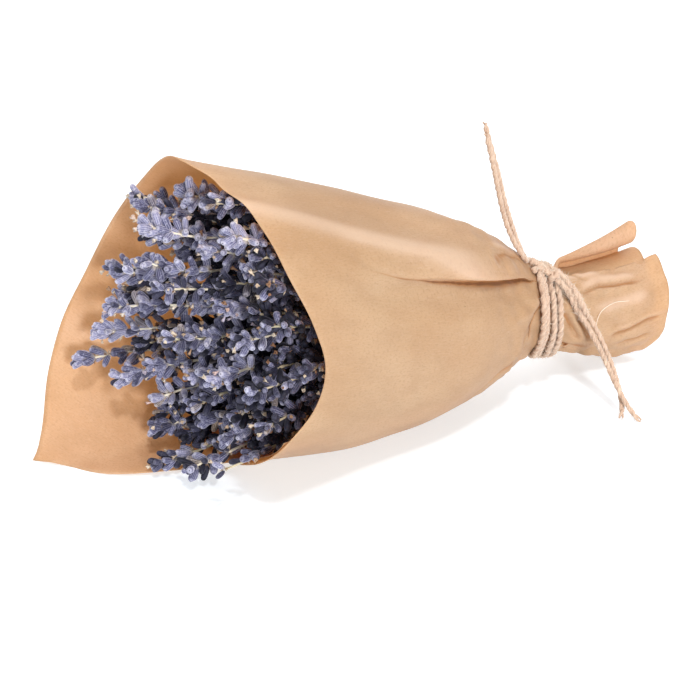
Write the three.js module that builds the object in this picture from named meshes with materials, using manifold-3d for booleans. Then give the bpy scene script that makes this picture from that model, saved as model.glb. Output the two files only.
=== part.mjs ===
// A bunch of dried lavender, rolled in kraft paper and tied at the waist with jute twine.
// Millimetres, +Z up. It lies on its side: the flower heads point to -X, the cut stalk ends to +X,
// and the surface it lies on is z = 0.
import * as THREE from 'three';
import { mergeVertices } from 'three/addons/utils/BufferGeometryUtils.js';
import Module from 'manifold-3d';

// The paper cone's section at x: half its width, and the heights of its top and its underside.
const HALF_WIDTH = [
  [-260, 88], [-200, 75.5], [-150, 64], [-100, 54.6], [-70, 50], [-50, 45], [-32, 36.6],
  [-16, 27.5], [-6, 23], [4, 21.5], [14, 21.6], [24, 22.2], [45, 23.5], [80, 24.5],
];
const TOP = [
  [-260, 182], [-200, 159.5], [-180, 151.5], [-165, 144.5], [-150, 139], [-100, 119],
  [-70, 105.8], [-50, 97.3], [-32, 87.3], [-16, 74.5], [-6, 65.5], [4, 57.8], [14, 52.8],
  [24, 49.6], [45, 47.5], [80, 50],
];
const UNDERSIDE = [
  [-260, -7], [-200, -3.8], [-150, -0.8], [-100, -0.4], [-75, -0.4], [-50, 4.8], [-32, 10.2],
  [-16, 15], [-6, 16], [4, 14.3], [14, 11.5], [24, 8], [45, 0.6], [80, -2],
];

// The sheet is rolled through 450 degrees. A turn of 0 is the top and 90 the near side (-Y), so
// turns -244 to -154 lie as an inner layer under turns 116 to 206.
const FIRST_TURN = -244;
const TURN_STEP = 9;
const COLUMNS = 50;
const CORNER_TURN = -154; // the sheet's corner, which lies on the surface

// Where the sheet starts at the mouth and ends behind the tie, as x at each turn.
const MOUTH_INNER = [
  [-244, -160], [-200, -164], [-187, -168], [-181, -178], [-176, -196], [-166, -219],
  [CORNER_TURN, -240],
];
const MOUTH = [
  [CORNER_TURN, -240], [-147, -234], [-126, -220], [-111, -209], [-95, -195.5], [-79, -185],
  [-63, -177], [-46, -171.5], [-30, -170.5], [-19, -171.5], [-10, -173], [-1, -170.5], [6, -165.5],
  [14, -164], [35, -155.5], [51, -152], [68, -145.5], [84, -142], [99, -147], [113, -158.5],
  [130, -165], [177, -162], [206, -168],
];
const TAIL_FAR = [[-244, 60], [-200, 51], [-154, 55], [-90, 62], [-28, 67], [8, 63]];
const TAIL_NEAR = [[8, 73], [60, 69.5], [90, 66.5], [120, 65.5], [150, 58], [175, 53], [206, 54]];
const MOUTH_ROWS = 5; // rows between the mouth and the first waist row
const WAIST_ROWS = [-60, -46, -33, -22, -12, -3, 5, 12, 22, 36];
const TAIL_ROWS = 2;

const PAPER = 0.8; // thicker than real kraft, so that it is a sound solid
const LAYER_GAP = 1.6; // from one layer's middle to the next
const LIP_LIFT = 10; // how far the lower near lip stands off the surface
const PLEATS = 8;
const PLEAT_PHASE = 10;
const PLEAT_DEPTH = 1.7;
const TIED_DEPTH = 0.25; // what the twine leaves of the pleats

// The slit on top of the gathered end, and the flap rolled back along its far side.
const SLIT_TURN = 8;
const SLIT_X = 12;
const FLAP_HINGE = -28;
const FLAP_END = 63;
const FLAP_WIDTH = 27;

// The tie: turns of twine side by side, slanting back on the far side.
const TIE_X = 6;
const TIE_SLANT = 8;
const TIE_TURNS = 4;
const TIE_PITCH = 2.6;
const TWINE = 2.3; // thickness of the twine in the tie
const END_TWINE = 2.1; // thickness of the four loose ends
const CLEAR = 0.3; // gap between touching pieces
const FACET_SAG = 0.4; // how far the paper's flat facets stand over its curve at the waist

// The knot's doubled twine crosses the tie on this route: x, turn, height over the paper.
const KNOT_ROUTE = [
  [-5.5, 20, 2.6], [-1.5, 25, 3.6], [2.5, 31, 4.2], [6.5, 38, 4], [10.5, 47, 3.3], [14, 56, 2.6],
];
const KNOT_LOOP = 2.3;

// Routes of the loose ends, from the knot outwards.
const UPPER_A = [
  [-6.9, -6.3, 68.1], [-8.8, -6.6, 71.2], [-11.2, -7, 75.8], [-13.4, -7.3, 80.6],
  [-15.6, -7.6, 86], [-17.8, -7.9, 91.6], [-19.8, -8, 97.2], [-21.8, -8.1, 103.2],
  [-23.6, -8.2, 109.2], [-25.4, -8.3, 115.4], [-27.4, -8.4, 121.6], [-29.4, -8.4, 127.6],
  [-31.3, -8.3, 133.6], [-33, -8.2, 139.2], [-33.9, -8.2, 142.4],
];
const UPPER_B = [
  [-7.6, -9.1, 68.2], [-10.2, -9.3, 71], [-13.2, -9.6, 75.4], [-16.2, -9.9, 80.4],
  [-19, -10.2, 85.8], [-21.4, -10.4, 91.4], [-23.4, -10.5, 97.2], [-25.2, -10.6, 103.2],
  [-26.8, -10.7, 109.2], [-28.4, -10.8, 115.2], [-30, -10.9, 121.2], [-31.6, -11, 127.2],
  [-33.2, -11, 133], [-34.6, -11, 138.2],
];
const LOWER_A = [
  [16.1, -21.7, 42.9], [17.6, -24.2, 40.6], [18.8, -27.4, 37.4], [19.8, -31, 33.4],
  [20.6, -34.6, 29], [21.2, -38.2, 24.6], [21.5, -41.8, 20.2], [21.5, -45.4, 15.8],
  [21.2, -48.8, 11.6], [20.6, -51.8, 7.9], [19.6, -54.4, 4.9], [18.2, -56.6, 2.7], [16.4, -58.6, 1.6],
];
const LOWER_B = [
  [14.4, -22.8, 41.1], [15.6, -25.6, 38.2], [16.6, -29, 34.6], [17.4, -32.8, 30.6],
  [18, -36.8, 26.8], [18.3, -40.8, 22.8], [18.6, -44.8, 18.8], [18.9, -48.8, 15],
  [19.3, -52.6, 11.4], [20, -56.2, 8], [20.9, -59.6, 5], [21.9, -62.6, 2.8], [23, -65.2, 1.6],
];

// The stalks: gathered in the waist, fanning out to the heads, with cut ends behind the tie.
const ROOT_X = -18;
const ROOT_SPREAD = 0.24; // a stalk's place in the waist, as a share of its head's place in the cone
const STALK = 2.2;
const CORE_ROWS = [-30, -18, -6, 4, 12, 22, 38];
const CORE_RADIUS = [12, 15, 17, 18.2, 17.7, 16, 15];
const CORE_SIDES = 14;
const STUBS = 20;
const STUB = 3;

// The flower heads. The first ones stand where they are seen, by the place of the tip.
const SEEN_TIPS = [
  [-165, 17, 131], [-179, 47, 115], [-178, 41, 102], [-174, 25, 103], [-188, 57, 81],
  [-189, 55, 65], [-202, 47, 53], [-211, 49, 40], [-199, 35, 34], [-190, 18, 48],
  [-187, 19, 29], [-189, 17, 14], [-195, 3, 10], [-186, -13, 11], [-183, -40, 24],
  [-164, -48, 45], [-167, -36, 50], [-169, 13, 78], [-177, 10, 67], [-161, -42, 91],
  [-161, -25, 111], [-168, -30, 78], [-167, 0, 109], [-177, -25, 58], [-166, -15, 88],
];
const HEADS = 42;
const HEAD_SPACING = 11.2; // least distance between the axes of two heads
const WALL_SPACING = 7.4; // least distance from a head's axis to the paper's middle
const HEAD_LENGTH = [37, 47];
const WHORLS = [0.15, 0.37, 0.58, 0.77]; // heights of the whorls, as shares of the head
const CALYX = 5.9;
const CALYX_WIDTH = 2.7;
const CALYX_LEAN = 47; // degrees up from square to the axis
const RACHIS = 1.5;

const KRAFT = new THREE.Color(0.8, 0.62, 0.45);
const JUTE = new THREE.Color(0.72, 0.58, 0.46);
const STRAW = new THREE.Color(0.66, 0.6, 0.44);
const VIOLET = new THREE.Color(0.3, 0.32, 0.5);

const wasm = await Module();
wasm.setup();

const radians = (degrees) => THREE.MathUtils.degToRad(degrees);
const mix = THREE.MathUtils.lerp;
const smooth = (from, to, x) => (from < to
  ? THREE.MathUtils.smoothstep(x, from, to) : 1 - THREE.MathUtils.smoothstep(x, to, from));

// A repeatable draw between 0 and 1 for item i, kind k.
function draw(i, k) {
  const v = Math.sin(i * 12.9898 + k * 78.233) * 43758.5453;
  return v - Math.floor(v);
}

// A smooth curve through a table of [x, value] pairs.
function along(table, x) {
  const last = table.length - 1;
  if (x <= table[0][0]) return table[0][1];
  if (x >= table[last][0]) return table[last][1];
  const slope = (i) => (table[i + 1][1] - table[i][1]) / (table[i + 1][0] - table[i][0]);
  const tangent = (i) => {
    if (i === 0) return slope(0);
    if (i === last) return slope(last - 1);
    const before = table[i][0] - table[i - 1][0];
    const after = table[i + 1][0] - table[i][0];
    return (slope(i - 1) * after + slope(i) * before) / (before + after);
  };
  let i = 0;
  while (x > table[i + 1][0]) i += 1;
  const span = table[i + 1][0] - table[i][0];
  const t = (x - table[i][0]) / span;
  return (2 * t ** 3 - 3 * t ** 2 + 1) * table[i][1] + (t ** 3 - 2 * t ** 2 + t) * span * tangent(i)
    + (3 * t ** 2 - 2 * t ** 3) * table[i + 1][1] + (t ** 3 - t ** 2) * span * tangent(i + 1);
}

// The cone's half width, half height and middle height at x.
function section(x) {
  const top = along(TOP, x);
  const low = along(UNDERSIDE, x);
  return { w: along(HALF_WIDTH, x), h: (top - low) / 2, c: (top + low) / 2 };
}

const tieX = (turn) => TIE_X - TIE_SLANT * Math.sin(radians(turn));

// How far the pleats push the paper in and out.
function pleat(x, turn) {
  const fromTie = Math.abs(x - tieX(turn));
  const reach = smooth(-75, -20, x) * mix(1, 0.5, smooth(20, 60, x));
  const depth = PLEAT_DEPTH * reach * mix(TIED_DEPTH / PLEAT_DEPTH, 1, smooth(6, 14, fromTie));
  return depth * Math.cos(radians((turn - PLEAT_PHASE) * PLEATS));
}

// The near lower lip stands a little off the surface.
function lipLift(x, turn) {
  const round = ((turn % 360) + 360) % 360;
  const share = Math.cos(radians(THREE.MathUtils.clamp(((round - 148) * 90) / 46, -90, 90)));
  return LIP_LIFT * smooth(-110, -170, x) * share ** 2;
}

// The middle of the paper at x and turn.
function paper(x, turn) {
  const { w, h, c } = section(x);
  const inner = (1 - smooth(CORNER_TURN, -110, turn)) * smooth(-225, -196, x);
  const inset = LAYER_GAP * inner;
  const swell = pleat(x, turn) - inset;
  const a = radians(turn);
  const z = c + (h + swell) * Math.cos(a) + lipLift(x, turn);
  return new THREE.Vector3(x, -(w + swell) * Math.sin(a), Math.max(z, PAPER / 2 + inset));
}

// The far side of the slit, rolled up and over towards the near side.
function flap(x, turn) {
  const open = smooth(SLIT_X, FLAP_END, x);
  const hinge = paper(x, FLAP_HINGE);
  const flat = paper(x, turn);
  const share = (turn - FLAP_HINGE) / (SLIT_TURN - FLAP_HINGE);
  const steps = 6;
  const piece = (FLAP_WIDTH * share) / steps;
  const rolled = hinge.clone();
  for (let i = 0; i < steps; i += 1) {
    const heading = radians(105 - 95 * share * ((i + 0.5) / steps));
    rolled.y -= piece * Math.cos(heading);
    rolled.z += piece * Math.sin(heading);
  }
  return flat.lerp(rolled, open);
}

// Outward direction of the paper.
function outward(x, turn) {
  const alongTurn = paper(x, turn + 0.5).sub(paper(x, turn - 0.5));
  const alongX = paper(x + 0.5, turn).sub(paper(x - 0.5, turn));
  return alongTurn.cross(alongX).normalize();
}

// A point a given height over the paper's outer face.
function overPaper(x, turn, height) {
  return paper(x, turn).addScaledVector(outward(x, turn), PAPER / 2 + height);
}

function rowX(row, turn, near) {
  if (row < MOUTH_ROWS) {
    const start = along(turn < CORNER_TURN ? MOUTH_INNER : MOUTH, turn);
    return mix(start, WAIST_ROWS[0], row / MOUTH_ROWS);
  }
  if (row < MOUTH_ROWS + WAIST_ROWS.length) return WAIST_ROWS[row - MOUTH_ROWS];
  const last = WAIST_ROWS[WAIST_ROWS.length - 1];
  const step = row - MOUTH_ROWS - WAIST_ROWS.length + 1;
  return mix(last, along(near ? TAIL_NEAR : TAIL_FAR, turn), step / TAIL_ROWS);
}

// A closed shell of even thickness round a sheet of quads.
function shell(points, quads, thickness) {
  const normals = points.map(() => new THREE.Vector3());
  const edges = new Map();
  quads.forEach(([a, b, c, d]) => {
    const across = points[c].clone().sub(points[a]);
    const face = across.cross(points[d].clone().sub(points[b])).normalize();
    [a, b, c, d].forEach((p) => normals[p].add(face));
    [[a, b], [b, c], [c, d], [d, a]].forEach(([p, q]) => {
      if (!edges.delete(`${q}_${p}`)) edges.set(`${p}_${q}`, [p, q]);
    });
  });
  const count = points.length;
  const side = (sign) => points.map((p, i) => (
    p.clone().addScaledVector(normals[i].clone().normalize(), (sign * thickness) / 2)));
  const index = [];
  quads.forEach(([a, b, c, d]) => {
    index.push(a, b, c, a, c, d);
    index.push(a + count, c + count, b + count, a + count, d + count, c + count);
  });
  edges.forEach(([p, q]) => index.push(p, p + count, q + count, p, q + count, q));
  const geometry = new THREE.BufferGeometry().setFromPoints([...side(1), ...side(-1)]);
  return geometry.setIndex(index);
}

function paperWrap() {
  const rows = MOUTH_ROWS + WAIST_ROWS.length + TAIL_ROWS;
  const slitColumn = Math.round((SLIT_TURN - FIRST_TURN) / TURN_STEP);
  const slitRow = MOUTH_ROWS + WAIST_ROWS.indexOf(SLIT_X);
  const hingeColumn = Math.round((FLAP_HINGE - FIRST_TURN) / TURN_STEP);
  const points = [];
  const ids = new Map();
  const vertex = (column, row, near) => {
    const split = column === slitColumn && row > slitRow;
    const key = `${column} ${row} ${split && near}`;
    if (!ids.has(key)) {
      const turn = FIRST_TURN + column * TURN_STEP;
      const x = rowX(row, turn, near);
      const rolled = !near && column > hingeColumn && row > slitRow;
      ids.set(key, points.length);
      points.push(rolled ? flap(x, turn) : paper(x, turn));
    }
    return ids.get(key);
  };
  const quads = [];
  for (let column = 0; column < COLUMNS; column += 1) {
    const near = column >= slitColumn;
    for (let row = 0; row < rows - 1; row += 1) {
      quads.push([
        vertex(column, row, near), vertex(column + 1, row, near),
        vertex(column + 1, row + 1, near), vertex(column, row + 1, near),
      ]);
    }
  }
  return shell(points, quads, PAPER);
}

// Closed geometry to a solid for joining, and back.
function solid(geometry) {
  const bare = new THREE.BufferGeometry();
  bare.setAttribute('position', geometry.getAttribute('position'));
  bare.setIndex(geometry.getIndex());
  const merged = mergeVertices(bare, 1e-4);
  return new wasm.Manifold(new wasm.Mesh({
    numProp: 3,
    vertProperties: merged.getAttribute('position').array,
    triVerts: new Uint32Array(merged.getIndex().array),
  }));
}

function fuse(geometries) {
  const whole = geometries.map(solid).reduce((sum, next) => sum.add(next));
  const mesh = whole.getMesh();
  const geometry = new THREE.BufferGeometry();
  geometry.setAttribute('position', new THREE.BufferAttribute(mesh.vertProperties, 3));
  return geometry.setIndex(new THREE.BufferAttribute(mesh.triVerts, 1));
}

function tube(points, diameter, sides, steps) {
  const outline = new THREE.Shape();
  for (let i = 0; i < sides; i += 1) {
    const a = ((i + 0.5) / sides) * 2 * Math.PI;
    const corner = [Math.cos(a), Math.sin(a)].map((v) => (v * diameter) / 2);
    if (i === 0) outline.moveTo(...corner);
    else outline.lineTo(...corner);
  }
  outline.closePath();
  const extrudePath = new THREE.CatmullRomCurve3(points);
  return new THREE.ExtrudeGeometry(outline, { steps, extrudePath });
}

function ring(offset) {
  const points = [];
  for (let turn = 0; turn < 360; turn += 15) {
    points.push(overPaper(tieX(turn) + offset, turn, CLEAR + FACET_SAG + TWINE / 2));
  }
  return new THREE.TubeGeometry(new THREE.CatmullRomCurve3(points, true), 26, TWINE / 2, 6, true);
}

function knotStrand(shift) {
  const points = KNOT_ROUTE.map(([x, turn, height]) => (
    overPaper(x + shift, turn + shift * 2.2, height)));
  return tube(points, TWINE + 0.3, 6, 9);
}

// The loop that binds the knot's two strands.
function knotLoop() {
  const [x, turn, height] = KNOT_ROUTE[2];
  const middle = overPaper(x, turn, height);
  const [beforeX, beforeTurn, beforeHeight] = KNOT_ROUTE[1];
  const axis = middle.clone().sub(overPaper(beforeX, beforeTurn, beforeHeight)).normalize();
  const loop = new THREE.TorusGeometry(KNOT_LOOP, TWINE / 2, 6, 12);
  loop.applyQuaternion(new THREE.Quaternion().setFromUnitVectors(new THREE.Vector3(0, 0, 1), axis));
  return loop.translate(middle.x, middle.y, middle.z);
}

function twineTie() {
  const rings = [];
  for (let i = 0; i < TIE_TURNS; i += 1) rings.push(ring((i - (TIE_TURNS - 1) / 2) * TIE_PITCH));
  return fuse([...rings, knotStrand(-1.25), knotStrand(1.25), knotLoop()]);
}

function looseEnd(route) {
  const points = route.map((p) => new THREE.Vector3(...p));
  return tube(points, END_TWINE, 8, points.length - 1);
}

// A head is a tip, the root its stalk springs from, and its length.
function makeHead(tip, index) {
  return { tip, length: mix(...HEAD_LENGTH, draw(index, 1)), index };
}

function rootOf(head) {
  const at = section(head.tip.x);
  const waist = section(ROOT_X);
  const u = head.tip.y / at.w;
  const v = (head.tip.z - at.c) / at.h;
  return new THREE.Vector3(
    ROOT_X,
    u * waist.w * 2 * ROOT_SPREAD,
    waist.c + v * waist.h * 2 * ROOT_SPREAD,
  );
}

const axisOf = (head) => head.tip.clone().sub(rootOf(head)).normalize();
const baseOf = (head) => head.tip.clone().addScaledVector(axisOf(head), -head.length);

// The tips lie on a dome in the slanted mouth.
function domeX(y, z) {
  return -198 - 0.3 * y + 0.0045 * (y ** 2 + (z - 72) ** 2);
}

// Heads that aren't placed by hand go, one by one, where there is most room.
function fillHeads(heads) {
  const spots = [];
  for (let i = 0; i < 220; i += 1) {
    const r = 61 * Math.sqrt((i + 0.5) / 220);
    const a = i * radians(137.508);
    const y = r * Math.sin(a);
    const z = 74 + r * Math.cos(a);
    spots.push(new THREE.Vector3(domeX(y, z) + 16 * draw(i, 2), y, z));
  }
  const room = (spot) => Math.min(...heads.map((head) => (
    Math.hypot(head.tip.y - spot.y, head.tip.z - spot.z, 0.5 * (head.tip.x - spot.x)))));
  while (heads.length < HEADS) {
    const best = spots.reduce((a, b) => (room(b) > room(a) ? b : a));
    heads.push(makeHead(best.clone(), heads.length));
  }
}

// Shortest way between the axes of two heads.
function between(one, two) {
  let found = null;
  for (let i = 0; i <= 6; i += 1) {
    const p = one.tip.clone().lerp(one.base, i / 6);
    const line = new THREE.Line3(two.tip, two.root);
    const q = line.closestPointToPoint(p, true, new THREE.Vector3());
    const way = p.sub(q);
    if (!found || way.length() < found.length()) found = way;
  }
  return found;
}

function settle(head) {
  head.root = rootOf(head);
  head.base = baseOf(head);
}

// Keeps a head off the paper.
function offWall(head) {
  [head.tip, head.base].forEach((p) => {
    const at = section(Math.max(p.x, -205));
    const y = p.y / (at.w - WALL_SPACING);
    const z = (p.z - at.c) / (at.h - WALL_SPACING);
    const over = Math.hypot(y, z);
    if (over > 1) {
      head.tip.y -= (p.y * (over - 1)) / over;
      head.tip.z -= ((p.z - at.c) * (over - 1)) / over;
    }
  });
}

// Heads that stand too close push each other aside.
function spreadHeads(heads) {
  for (let round = 0; round < 160; round += 1) {
    heads.forEach(settle);
    heads.forEach((one) => heads.forEach((two) => {
      if (one === two) return;
      const way = between(one, two);
      const lack = HEAD_SPACING - way.length();
      if (lack <= 0) return;
      way.x = 0;
      way.setLength(lack * 0.3);
      one.tip.add(way);
      two.tip.sub(way);
    }));
    heads.forEach(offWall);
  }
  heads.forEach(settle);
}

function placeHeads() {
  const heads = SEEN_TIPS.map((tip, i) => makeHead(new THREE.Vector3(...tip), i));
  fillHeads(heads);
  spreadHeads(heads);
  return heads;
}

// One head: a square rachis whose faces grow out into calyces, whorl by whorl, each whorl
// turned an eighth, with one calyx on top.
function headGeometry(head) {
  const axis = axisOf(head);
  const side = new THREE.Vector3(0, 0, 1).cross(axis).normalize();
  const other = axis.clone().cross(side);
  const points = [];
  const index = [];
  const add = (point) => points.push(point) - 1;
  const quad = (a, b, c, d) => index.push(a, b, c, a, c, d);
  const radial = (a) => side.clone().multiplyScalar(Math.cos(a)).addScaledVector(other, Math.sin(a));
  const onAxis = (share) => head.base.clone().addScaledVector(axis, share * head.length);
  const square = (share, twist, half) => [0, 1, 2, 3].map((m) => (
    add(onAxis(share).addScaledVector(radial(twist + ((m - 0.5) * Math.PI) / 2), half * Math.SQRT2))));
  const rachis = (share) => (RACHIS / 2) * mix(1, 0.7, share);
  const band = (low, high) => {
    for (let m = 0; m < 4; m += 1) {
      const n = (m + 1) % 4;
      index.push(low[m], low[n], high[m]);
      index.push(low[n], high[n], high[m]);
    }
  };
  const calyx = (corners, from, outwards, across, up, length) => {
    const mid = from.clone().addScaledVector(outwards, length * 0.52);
    const half = CALYX_WIDTH / 2;
    const ringAt = [[-1, -1], [1, -1], [1, 1], [-1, 1]].map(([s, t]) => add(
      mid.clone().addScaledVector(across, s * half).addScaledVector(up, t * half * 0.85)));
    const tip = add(from.clone().addScaledVector(outwards, length));
    for (let m = 0; m < 4; m += 1) {
      const n = (m + 1) % 4;
      quad(corners[m], corners[n], ringAt[n], ringAt[m]);
      index.push(ringAt[m], ringAt[n], tip);
    }
  };
  const start = draw(head.index, 3) * Math.PI;
  const foot = square(0, start, rachis(0));
  index.push(foot[0], foot[2], foot[1], foot[0], foot[3], foot[2]);
  let below = foot;
  WHORLS.forEach((share, k) => {
    const twist = start + (k * Math.PI) / 4;
    const reach = 1.2 / head.length;
    const low = square(share - reach, twist, rachis(share));
    const high = square(share + reach, twist, rachis(share));
    band(below, low);
    for (let m = 0; m < 4; m += 1) {
      const n = (m + 1) % 4;
      const out = radial(twist + (m * Math.PI) / 2);
      const across = axis.clone().cross(out);
      const lean = radians(CALYX_LEAN + 12 * (draw(head.index * 20 + k * 4 + m, 4) - 0.5));
      const outwards = out.clone().multiplyScalar(Math.cos(lean)).addScaledVector(axis, Math.sin(lean));
      const up = axis.clone().multiplyScalar(Math.cos(lean)).addScaledVector(out, -Math.sin(lean));
      const from = onAxis(share).addScaledVector(out, rachis(share));
      const length = CALYX * mix(1, 0.82, share) * mix(0.9, 1.05, draw(head.index * 20 + k * 4 + m, 5));
      calyx([low[m], low[n], high[n], high[m]], from, outwards, across, up, length);
    }
    below = high;
  });
  const last = start + ((WHORLS.length - 1) * Math.PI) / 4;
  calyx(below, onAxis(0.86), axis, radial(last), axis.clone().cross(radial(last)), head.length * 0.14);
  return new THREE.BufferGeometry().setFromPoints(points).setIndex(index);
}

// The gathered stalks in the waist.
function stalkCore() {
  const points = [];
  const index = [];
  CORE_ROWS.forEach((x, row) => {
    const { c } = section(x);
    for (let i = 0; i < CORE_SIDES; i += 1) {
      const a = (i / CORE_SIDES) * 2 * Math.PI;
      const r = CORE_RADIUS[row];
      points.push(new THREE.Vector3(x, -r * Math.sin(a), c + r * Math.cos(a)));
    }
  });
  const at = (row, i) => row * CORE_SIDES + (i % CORE_SIDES);
  for (let row = 0; row < CORE_ROWS.length - 1; row += 1) {
    for (let i = 0; i < CORE_SIDES; i += 1) {
      index.push(at(row, i), at(row, i + 1), at(row + 1, i + 1));
      index.push(at(row, i), at(row + 1, i + 1), at(row + 1, i));
    }
  }
  const last = CORE_ROWS.length - 1;
  for (let i = 1; i < CORE_SIDES - 1; i += 1) {
    index.push(at(0, 0), at(0, i + 1), at(0, i));
    index.push(at(last, 0), at(last, i), at(last, i + 1));
  }
  return new THREE.BufferGeometry().setFromPoints(points).setIndex(index);
}

function stalk(head) {
  const axis = axisOf(head);
  const end = head.base.clone().addScaledVector(axis, -CLEAR);
  const line = new THREE.LineCurve3(head.root.clone(), end);
  const geometry = new THREE.CylinderGeometry(STALK / 2, STALK / 2, line.getLength(), 4);
  geometry.applyQuaternion(new THREE.Quaternion().setFromUnitVectors(new THREE.Vector3(0, 1, 0), axis));
  const middle = line.getPoint(0.5);
  return geometry.translate(middle.x, middle.y, middle.z);
}

// The cut ends behind the tie.
function stub(i) {
  const from = CORE_ROWS[CORE_ROWS.length - 1] - 4;
  const end = 47 + 9 * draw(i, 6);
  const r = 12.8 * Math.sqrt((i + 0.5) / STUBS);
  const a = i * radians(137.508);
  const geometry = new THREE.CylinderGeometry(STUB / 2, STUB / 2, end - from, 5);
  geometry.rotateZ(Math.PI / 2);
  return geometry.translate((from + end) / 2, r * Math.sin(a), section(from).c + r * Math.cos(a));
}

function stems(heads) {
  const stubs = Array.from({ length: STUBS }, (_, i) => stub(i));
  return fuse([stalkCore(), ...heads.map(stalk), ...stubs]);
}

function piece(name, geometry, color, roughness) {
  const material = new THREE.MeshStandardMaterial({ color, roughness, metalness: 0 });
  const mesh = new THREE.Mesh(geometry, material);
  mesh.name = name;
  return mesh;
}

const bunch = new THREE.Group();
const wrap = piece('paper_wrap', paperWrap(), KRAFT, 0.85);
bunch.add(wrap);
bunch.add(piece('twine_tie', twineTie(), JUTE, 0.95));

const heads = placeHeads();
bunch.add(piece('stems', stems(heads), STRAW, 0.8));
heads.forEach((head, i) => {
  const number = String(i + 1).padStart(2, '0');
  bunch.add(piece(`spike_${number}`, headGeometry(head), VIOLET, 0.9));
});

// The origin is the middle of the base of everything but the loose ends.
const box = new THREE.Box3().setFromObject(bunch, true);
const middle = box.getCenter(new THREE.Vector3());
bunch.add(piece('twine_end_upper_a', looseEnd(UPPER_A), JUTE, 0.95));
bunch.add(piece('twine_end_upper_b', looseEnd(UPPER_B), JUTE, 0.95));
bunch.add(piece('twine_end_lower_a', looseEnd(LOWER_A), JUTE, 0.95));
bunch.add(piece('twine_end_lower_b', looseEnd(LOWER_B), JUTE, 0.95));
bunch.position.set(-middle.x, -middle.y, 0);

const root = new THREE.Group();
root.add(bunch);
export default root;
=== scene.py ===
"""A bunch of dried lavender in kraft paper, tied with jute twine: the finish on its solids.

Shapes are worked out in millimetres in the drawing's frame, in which the flower heads point to
-X, the near side is -Y and the surface that the bunch lies on is z = 0. to_frame() puts them
into the part's frame, in metres. A turn is an angle round the cone in degrees: 0 is the top and
90 the near side.
"""

import math

import bpy
import numpy as np
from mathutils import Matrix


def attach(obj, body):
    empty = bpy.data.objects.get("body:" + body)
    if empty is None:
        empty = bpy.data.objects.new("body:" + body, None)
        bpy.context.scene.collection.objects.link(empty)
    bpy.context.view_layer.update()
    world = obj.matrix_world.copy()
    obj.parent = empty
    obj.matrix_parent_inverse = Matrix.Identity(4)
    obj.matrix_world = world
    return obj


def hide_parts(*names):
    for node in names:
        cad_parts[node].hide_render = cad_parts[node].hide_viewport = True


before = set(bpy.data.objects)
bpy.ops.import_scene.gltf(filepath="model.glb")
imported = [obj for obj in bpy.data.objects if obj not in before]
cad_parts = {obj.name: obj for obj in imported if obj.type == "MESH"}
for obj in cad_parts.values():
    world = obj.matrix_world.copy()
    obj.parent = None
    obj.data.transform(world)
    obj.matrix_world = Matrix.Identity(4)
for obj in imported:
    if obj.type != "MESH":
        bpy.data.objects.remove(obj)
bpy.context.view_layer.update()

DRAWN_ORIGIN = np.array([83.502, -5.805, 0.0])  # the drawing's origin in the part's frame

# The paper cone's section at x: half its width, and the heights of its top and its underside.
HALF_WIDTH = [
    (-260, 88), (-200, 75.5), (-150, 64), (-100, 54.6), (-70, 50), (-50, 45), (-32, 36.6),
    (-16, 27.5), (-6, 23), (4, 21.5), (14, 21.6), (24, 22.2), (45, 23.5), (80, 24.5),
]
TOP = [
    (-260, 182), (-200, 159.5), (-180, 151.5), (-165, 144.5), (-150, 139), (-100, 119),
    (-70, 105.8), (-50, 97.3), (-32, 87.3), (-16, 74.5), (-6, 65.5), (4, 57.8), (14, 52.8),
    (24, 49.6), (45, 47.5), (80, 50),
]
UNDERSIDE = [
    (-260, -7), (-200, -3.8), (-150, -0.8), (-100, -0.4), (-75, -0.4), (-50, 4.8), (-32, 10.2),
    (-16, 15), (-6, 16), (4, 14.3), (14, 11.5), (24, 8), (45, 2), (80, 0.5),
]

# The sheet's outline, as x at each turn.
FIRST_TURN, LAST_TURN, CORNER_TURN = -244, 206, -154
MOUTH = [
    (-244, -160), (-200, -164), (-187, -168), (-181, -180), (-176, -198), (-171, -210.5),
    (-165, -219.5), (-159, -226.5), (-156.4, -232), (-154, -240), (-151.6, -237), (-147, -233),
    (-126, -220), (-111, -209), (-95, -195.5), (-79, -185), (-63, -177), (-46, -171.5),
    (-30, -170.5), (-19, -171.5), (-10, -173), (-1, -170.5), (6, -165.5), (14, -164),
    (35, -155.5), (51, -152), (68, -145.5), (84, -142), (99, -147), (113, -158.5), (130, -165),
    (177, -162), (206, -168),
]
TAIL_FAR = [(-244, 60), (-200, 51), (-154, 55), (-90, 62), (-28, 61), (-10, 65),
            (-5, 66), (2, 65), (8, 63.5)]
TAIL_INNER = [(-404, 69), (-372, 69), (-352, 66), (-300, 62), (-244, 60)]
TAIL_NEAR = [(8, 73), (60, 69.5), (90, 66.5), (120, 65.5), (150, 58), (175, 53), (206, 54)]

SOLID_PAPER = 0.8  # thickness of the sheet in the solids
PAPER = 0.3  # thickness here
FLOOR_LIE, FLOOR_GAP = 0.2, 0.02  # lowest height of the sheet's middle, and of its outer side
LAYER_GAP = 1.6  # between the sheet's two layers where they lie over each other
LIP_LIFT, LIP_TURN, LIP_SPAN = 10, 148, 46  # how far the lip stands off the cone, and where
PLEATS, PLEAT_PHASE, PLEAT_DEPTH, TIED_DEPTH = 8, 10, 1.7, 0.25  # the last one is by the tie
SLIT_TURN, SLIT_X = 8, 12  # the slit in the gathered end, beside the flap
# The flap: the turn of its hinge, the x where it is free and where it ends, then how high it
# stands, how far it leans to a side, and the radius and angle of its roll.
FLAP_HINGE, FLAP_FREE, FLAP_END = -28, 26, 66
FLAP_RISE, FLAP_LEAN, FLAP_RADIUS, FLAP_CURL = 13, 0.12, 5.3, math.radians(225)
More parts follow.
